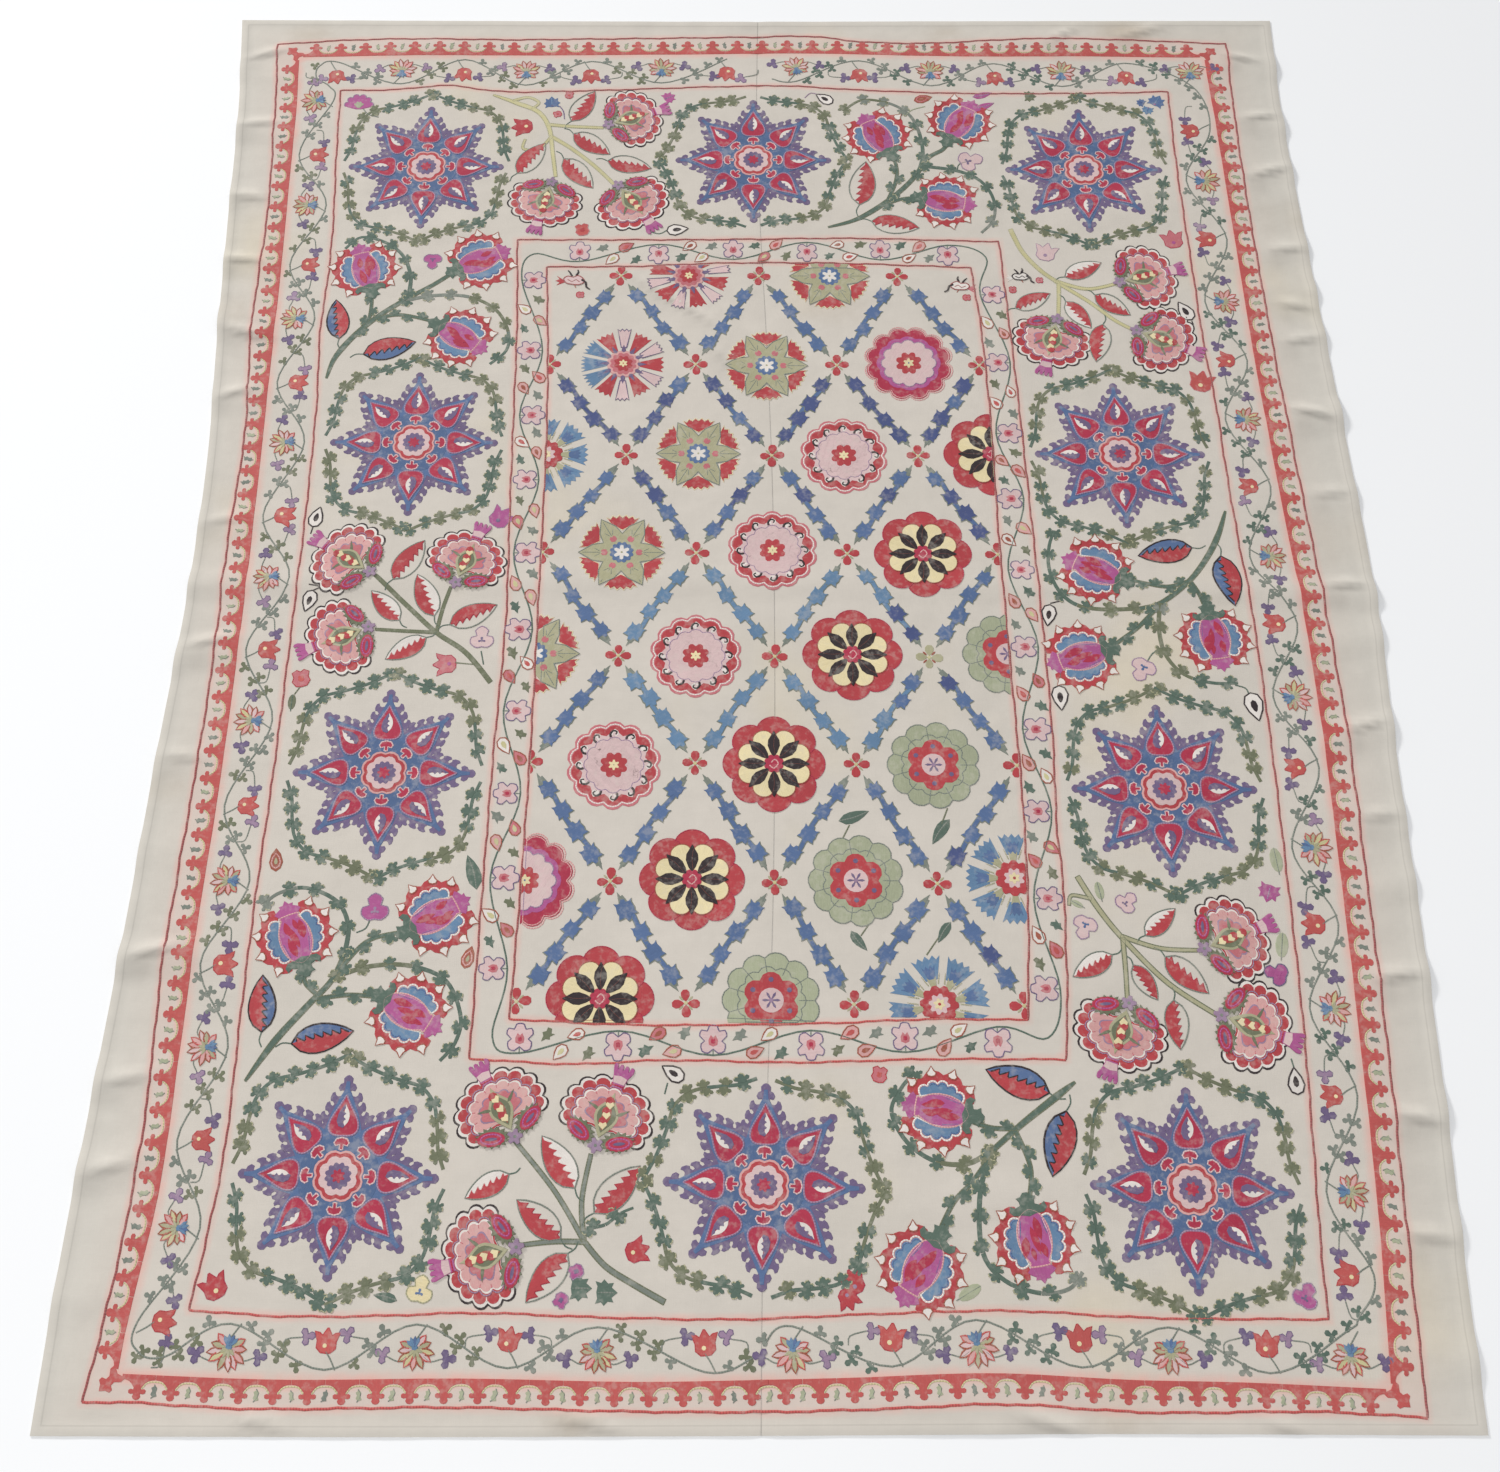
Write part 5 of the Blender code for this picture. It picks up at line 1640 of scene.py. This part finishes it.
class Paint:
    """Makes the nodes of one material."""

    def __init__(self, name):
        self.material = bpy.data.materials.new(name)
        self.material.use_nodes = True
        self.tree = self.material.node_tree
        self.shader = self.tree.nodes["Principled BSDF"]

    def node(self, kind, settings=None, inputs=None, output=0):
        node = self.tree.nodes.new(kind)
        for key, value in (settings or {}).items():
            setattr(node, key, value)
        for key, value in (inputs or {}).items():
            self.feed(node.inputs[key], value)
        return Value(self, node.outputs[output])

    def feed(self, socket, value):
        if isinstance(value, Value):
            self.tree.links.new(value.socket, socket)
        else:
            socket.default_value = value

    def attribute(self, name):
        return self.node("ShaderNodeAttribute", {"attribute_name": name}, output="Vector")

    def parts(self, vector):
        split = self.tree.nodes.new("ShaderNodeSeparateXYZ")
        self.tree.links.new(vector.socket, split.inputs[0])
        return [Value(self, out) for out in split.outputs]

    def join(self, x, y, z=0.0):
        return self.node("ShaderNodeCombineXYZ", None, {0: x, 1: y, 2: z})

    def noise(self, vector, scale, detail=2.0, rough=0.5):
        inputs = {"Vector": vector, "Scale": scale, "Detail": detail, "Roughness": rough}
        return self.node("ShaderNodeTexNoise", {"noise_dimensions": "3D"}, inputs)

    def span(self, value, low, high, to_low=0.0, to_high=1.0):
        inputs = {0: value, 1: low, 2: high, 3: to_low, 4: to_high}
        return self.node("ShaderNodeMapRange", {"interpolation_type": "SMOOTHSTEP"}, inputs)

    def mix(self, factor, first, second, blend="MIX"):
        settings = {"data_type": "RGBA", "blend_type": blend}
        return self.node("ShaderNodeMix", settings, {0: factor, 6: first, 7: second}, output=2)

    def scaled(self, colour, value):
        grey = self.join(value, value, value)
        colour = colour if isinstance(colour, Value) else colour[:3]
        return self.node("ShaderNodeVectorMath", {"operation": "MULTIPLY"}, {0: colour, 1: grey})

    def bump(self, height, distance, strength=1.0):
        inputs = {"Height": height, "Distance": distance, "Strength": strength}
        return self.node("ShaderNodeBump", None, inputs)


# The length of a chain stitch in millimetres, and stains: (across, along, reach, weight)
STITCH = 3.1
STAINS = [
    (0.53, 0.945, 0.060, 0.60), (0.27, 0.940, 0.045, 0.30), (-0.66, 0.935, 0.050, 0.35),
    (0.745, 0.60, 0.070, 0.35), (0.755, 0.10, 0.080, 0.30), (-0.20, -0.945, 0.045, 0.35),
    (0.36, -0.940, 0.050, 0.30), (-0.74, 0.44, 0.060, 0.40), (-0.73, -0.25, 0.060, 0.35),
    (0.10, 0.45, 0.060, 0.20),
]


def soft_wrinkles(paint, place):
    """Shallow uneven wrinkles, the same in the cloth and in the threads on it."""
    x, y, _ = paint.parts(place)
    broad = paint.noise(paint.join(x * 9 + y * 3, y * 15), 1.0, 2.0, 0.5)
    fine = paint.noise(paint.join(x * 34, y * 46 + x * 9), 1.0, 2.0, 0.5)
    return broad * 14 + fine * 3.2


def run_dye(paint, lines, mottle):
    """Where red dye has run into the cloth: beside the stitched lines and under the toothed band."""
    outer, band, second, inner, field = lines
    halo = None
    for distance, reach, weight in ((outer, 9.0, 0.55), (band + 3.0, 15.0, 0.85), (second, 9.0, 0.6),
                                    (inner, 9.0, 0.6), (field, 9.0, 0.6)):
        glow = paint.span(distance.math("ABSOLUTE"), reach, 0.0) * weight
        halo = glow if halo is None else halo.math("MAXIMUM", glow)
    bleed = halo * paint.span(mottle, 0.30, 0.70, 0.45, 1.0)
    between = paint.span(outer, -6.0, 3.0) * paint.span(band, 6.0, -3.0)
    return bleed.math("MAXIMUM", between * 0.16)


def ground_cloth():
    """Undyed plain-weave cotton: slubs, soft stains, and red dye that has run from the lines."""
    if "ground_cloth" in bpy.data.materials:
        return bpy.data.materials["ground_cloth"]
    paint = Paint("ground_cloth")
    place = paint.node("ShaderNodeTexCoord", output="Object")
    x, y, _ = paint.parts(place)
    outer, band, second = paint.parts(paint.attribute("outer_lines"))
    inner, field, seam = paint.parts(paint.attribute("inner_lines"))
    # The third part of edges holds the painted crease shade and highlight.
    hem, _, dust_and_crease_shading = paint.parts(paint.attribute("edges"))
    warp = paint.noise(paint.join(x * 1700, y * 60), 1.0, 1.0)
    weft = paint.noise(paint.join(x * 60, y * 1700), 1.0, 1.0)
    slubs = warp * 0.5 + weft * 0.5
    clouds = paint.noise(place, 5.0, 4.0, 0.55)
    mottle = paint.noise(place, 38.0, 3.0, 0.6)
    stain = paint.span(paint.noise(place, 3.1, 3.0, 0.55), 0.55, 0.75)
    margin = paint.span(outer, -5.0, -45.0)
    colour = paint.mix(clouds, linear((213, 204, 193)), linear((198, 191, 180)))
    colour = paint.mix(stain * 0.45, colour, linear((212, 198, 168)))
    for across, along, reach, weight in STAINS:
        away = ((x - across) * (x - across) * 0.4 + (y - along) * (y - along)).math("SQRT") + mottle * 0.03
        colour = paint.mix(paint.span(away, reach, 0.01) * weight, colour, linear((178, 160, 138)))
    colour = paint.mix(margin * 0.5, colour, linear((206, 202, 192)))
    bleed = run_dye(paint, (outer, band, second, inner, field), mottle)
    colour = paint.mix(bleed, colour, linear((226, 168, 156)))
    shade = 0.90 + slubs * 0.10 + mottle * 0.10
    # Painted shade on the near side of each crease and painted highlight on its far side, darkening and
    # lightening the cloth's colour.
    shade = shade * (1.0 - dust_and_crease_shading * (0.16 + mottle * 0.30))
    shade = shade * paint.span(seam, 1.4, 0.2, 1.0, 0.86)
    shade = shade * paint.span((hem - 9.8).math("ABSOLUTE"), 1.2, 0.2, 1.0, 0.88)
    paint.feed(paint.shader.inputs["Base Color"], paint.scaled(colour, shade))
    paint.feed(paint.shader.inputs["Roughness"], 0.9 - slubs * 0.08)
    weave = warp * 0.5 + weft * 0.5 + mottle * 0.6 + soft_wrinkles(paint, place)
    paint.feed(paint.shader.inputs["Normal"], paint.bump(weave, 0.0004, 0.6))
    paint.shader.inputs["Specular IOR Level"].default_value = 0.2
    return paint.material


def silk(name, colour, laid):
    """Dyed silk thread, either laid side by side to fill a shape or worked as a chained line."""
    paint = Paint(name)
    place = paint.node("ShaderNodeTexCoord", output="Object")
    if laid:
        cosine, sine, tone = paint.parts(paint.attribute("grain"))
        x, y, _ = paint.parts(place)
        along = (x * cosine + y * sine) * 1000
        across = (y * cosine - x * sine) * 1000
        streaks = paint.noise(paint.join(along * 0.10, across * 1.1, tone * 9), 1.0, 2.0, 0.6)
        ties = paint.noise(paint.join(along * 0.55, across * 0.9, tone * 5), 1.0, 1.0)
    else:
        along, across, tone = paint.parts(paint.attribute("run"))
        chain = (along / STITCH).math("FRACT")
        streaks = paint.span((chain - 0.5).math("ABSOLUTE"), 0.5, 0.1, 0.0, 1.0)
        ties = paint.noise(paint.join(along * 0.4, across, tone * 5), 1.0, 1.0)
    fading = paint.noise(place, 26.0, 3.0, 0.55)
    worn = paint.noise(place, 150.0, 2.0, 0.6)
    base = linear(colour)
    shade = 0.62 + streaks * 0.34 + ties * 0.22 + fading * 0.20 + tone * 0.06
    rich = paint.scaled(base, shade)
    dusty = linear((205, 198, 186))
    faded = [0.62 * part + 0.38 * dust_and_crease_shading for part, dust_and_crease_shading in zip(base[:3], dusty[:3])] + [1.0]
    wear = paint.span(worn * 0.6 + fading * 0.4, 0.47, 0.66) * 0.6
    paint.feed(paint.shader.inputs["Base Color"], paint.mix(wear, rich, faded))
    paint.feed(paint.shader.inputs["Roughness"], 0.72 - streaks * 0.16)
    work = streaks * 0.7 + ties * 0.3 + soft_wrinkles(paint, place)
    paint.feed(paint.shader.inputs["Normal"], paint.bump(work, 0.0004, 0.6))
    paint.shader.inputs["Specular IOR Level"].default_value = 0.3
    paint.shader.inputs["Sheen Weight"].default_value = 0.1
    return paint.material


def embroidery():
    """One piece for each thread colour's fills, and one for its lines."""
    pieces = []
    for kind, work, make in (("fill", patches, fill_mesh), ("line", strands, line_mesh)):
        for colour in SILKS:
            if not work[colour]:
                continue
            name = colour + "_" + kind
            piece = bpy.data.objects.new(name, make(name, work[colour]))
            bpy.context.scene.collection.objects.link(piece)
            piece.data.materials.clear()
            piece.data.materials.append(silk(name + "_silk", SILKS[colour], kind == "fill"))
            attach(piece, "root")
            pieces.append(piece)
    return pieces


# Camera, light and floor

def camera():
    data = bpy.data.cameras.new("camera")
    data.lens = 40.118
    data.sensor_width = 36.0
    data.shift_x = 0.0343
    holder = bpy.data.objects.new("camera", data)
    holder.location = (-0.0507, -0.9612, 1.8515)
    holder.rotation_euler = [math.radians(turn) for turn in (22.941, 0.543, 0.630)]
    bpy.context.scene.collection.objects.link(holder)
    bpy.context.scene.camera = holder


def soft_light(name, place, size, power):
    data = bpy.data.lights.new(name, "AREA")
    data.shape = "DISK"
    data.size = size
    data.energy = power
    light = bpy.data.objects.new(name, data)
    light.location = place
    aim = -light.location
    light.rotation_euler = aim.to_track_quat("-Z", "Y").to_euler()
    bpy.context.scene.collection.objects.link(light)


def studio():
    soft_light("window", (-5.8, 6.6, 4.2), size=1.8, power=600)
    soft_light("overhead", (-0.6, -1.7, 4.2), size=3.0, power=75)
    world = bpy.data.worlds.new("studio")
    world.use_nodes = True
    world.node_tree.nodes["Background"].inputs["Color"].default_value = (0.95, 0.97, 1.0, 1.0)
    world.node_tree.nodes["Background"].inputs["Strength"].default_value = 0.46
    bpy.context.scene.world = world
    bpy.context.scene.view_settings.view_transform = "Standard"
    shape = bmesh.new()
    bmesh.ops.create_grid(shape, x_segments=1, y_segments=1, size=6)
    mesh = bpy.data.meshes.new("floor")
    shape.to_mesh(mesh)
    shape.free()
    floor = bpy.data.objects.new("floor", mesh)
    bpy.context.scene.collection.objects.link(floor)
    paint = Paint("floor")
    paint.shader.inputs["Base Color"].default_value = (0.92, 0.92, 0.92, 1.0)
    paint.shader.inputs["Roughness"].default_value = 0.8
    mesh.materials.append(paint.material)


camera()
studio()
frame_lines()
stars_and_wreaths()
red_band()
lattice_field()
outer_vine(OUTER_LEFT_VINE, ("tulip", "lotus"), ("mauve", "violet", "grey_green", "moss"))
outer_vine(OUTER_RIGHT_VINE, ("lotus", "tulip"), ("mauve", "violet", "teal", "grey_green"))
inner_vine()
sprays()
small_motifs()
left_cloth = lay_cloth("left_cloth", "left", "left_panel")
right_cloth = lay_cloth("right_cloth", "right", "right_panel")
threads = embroidery()
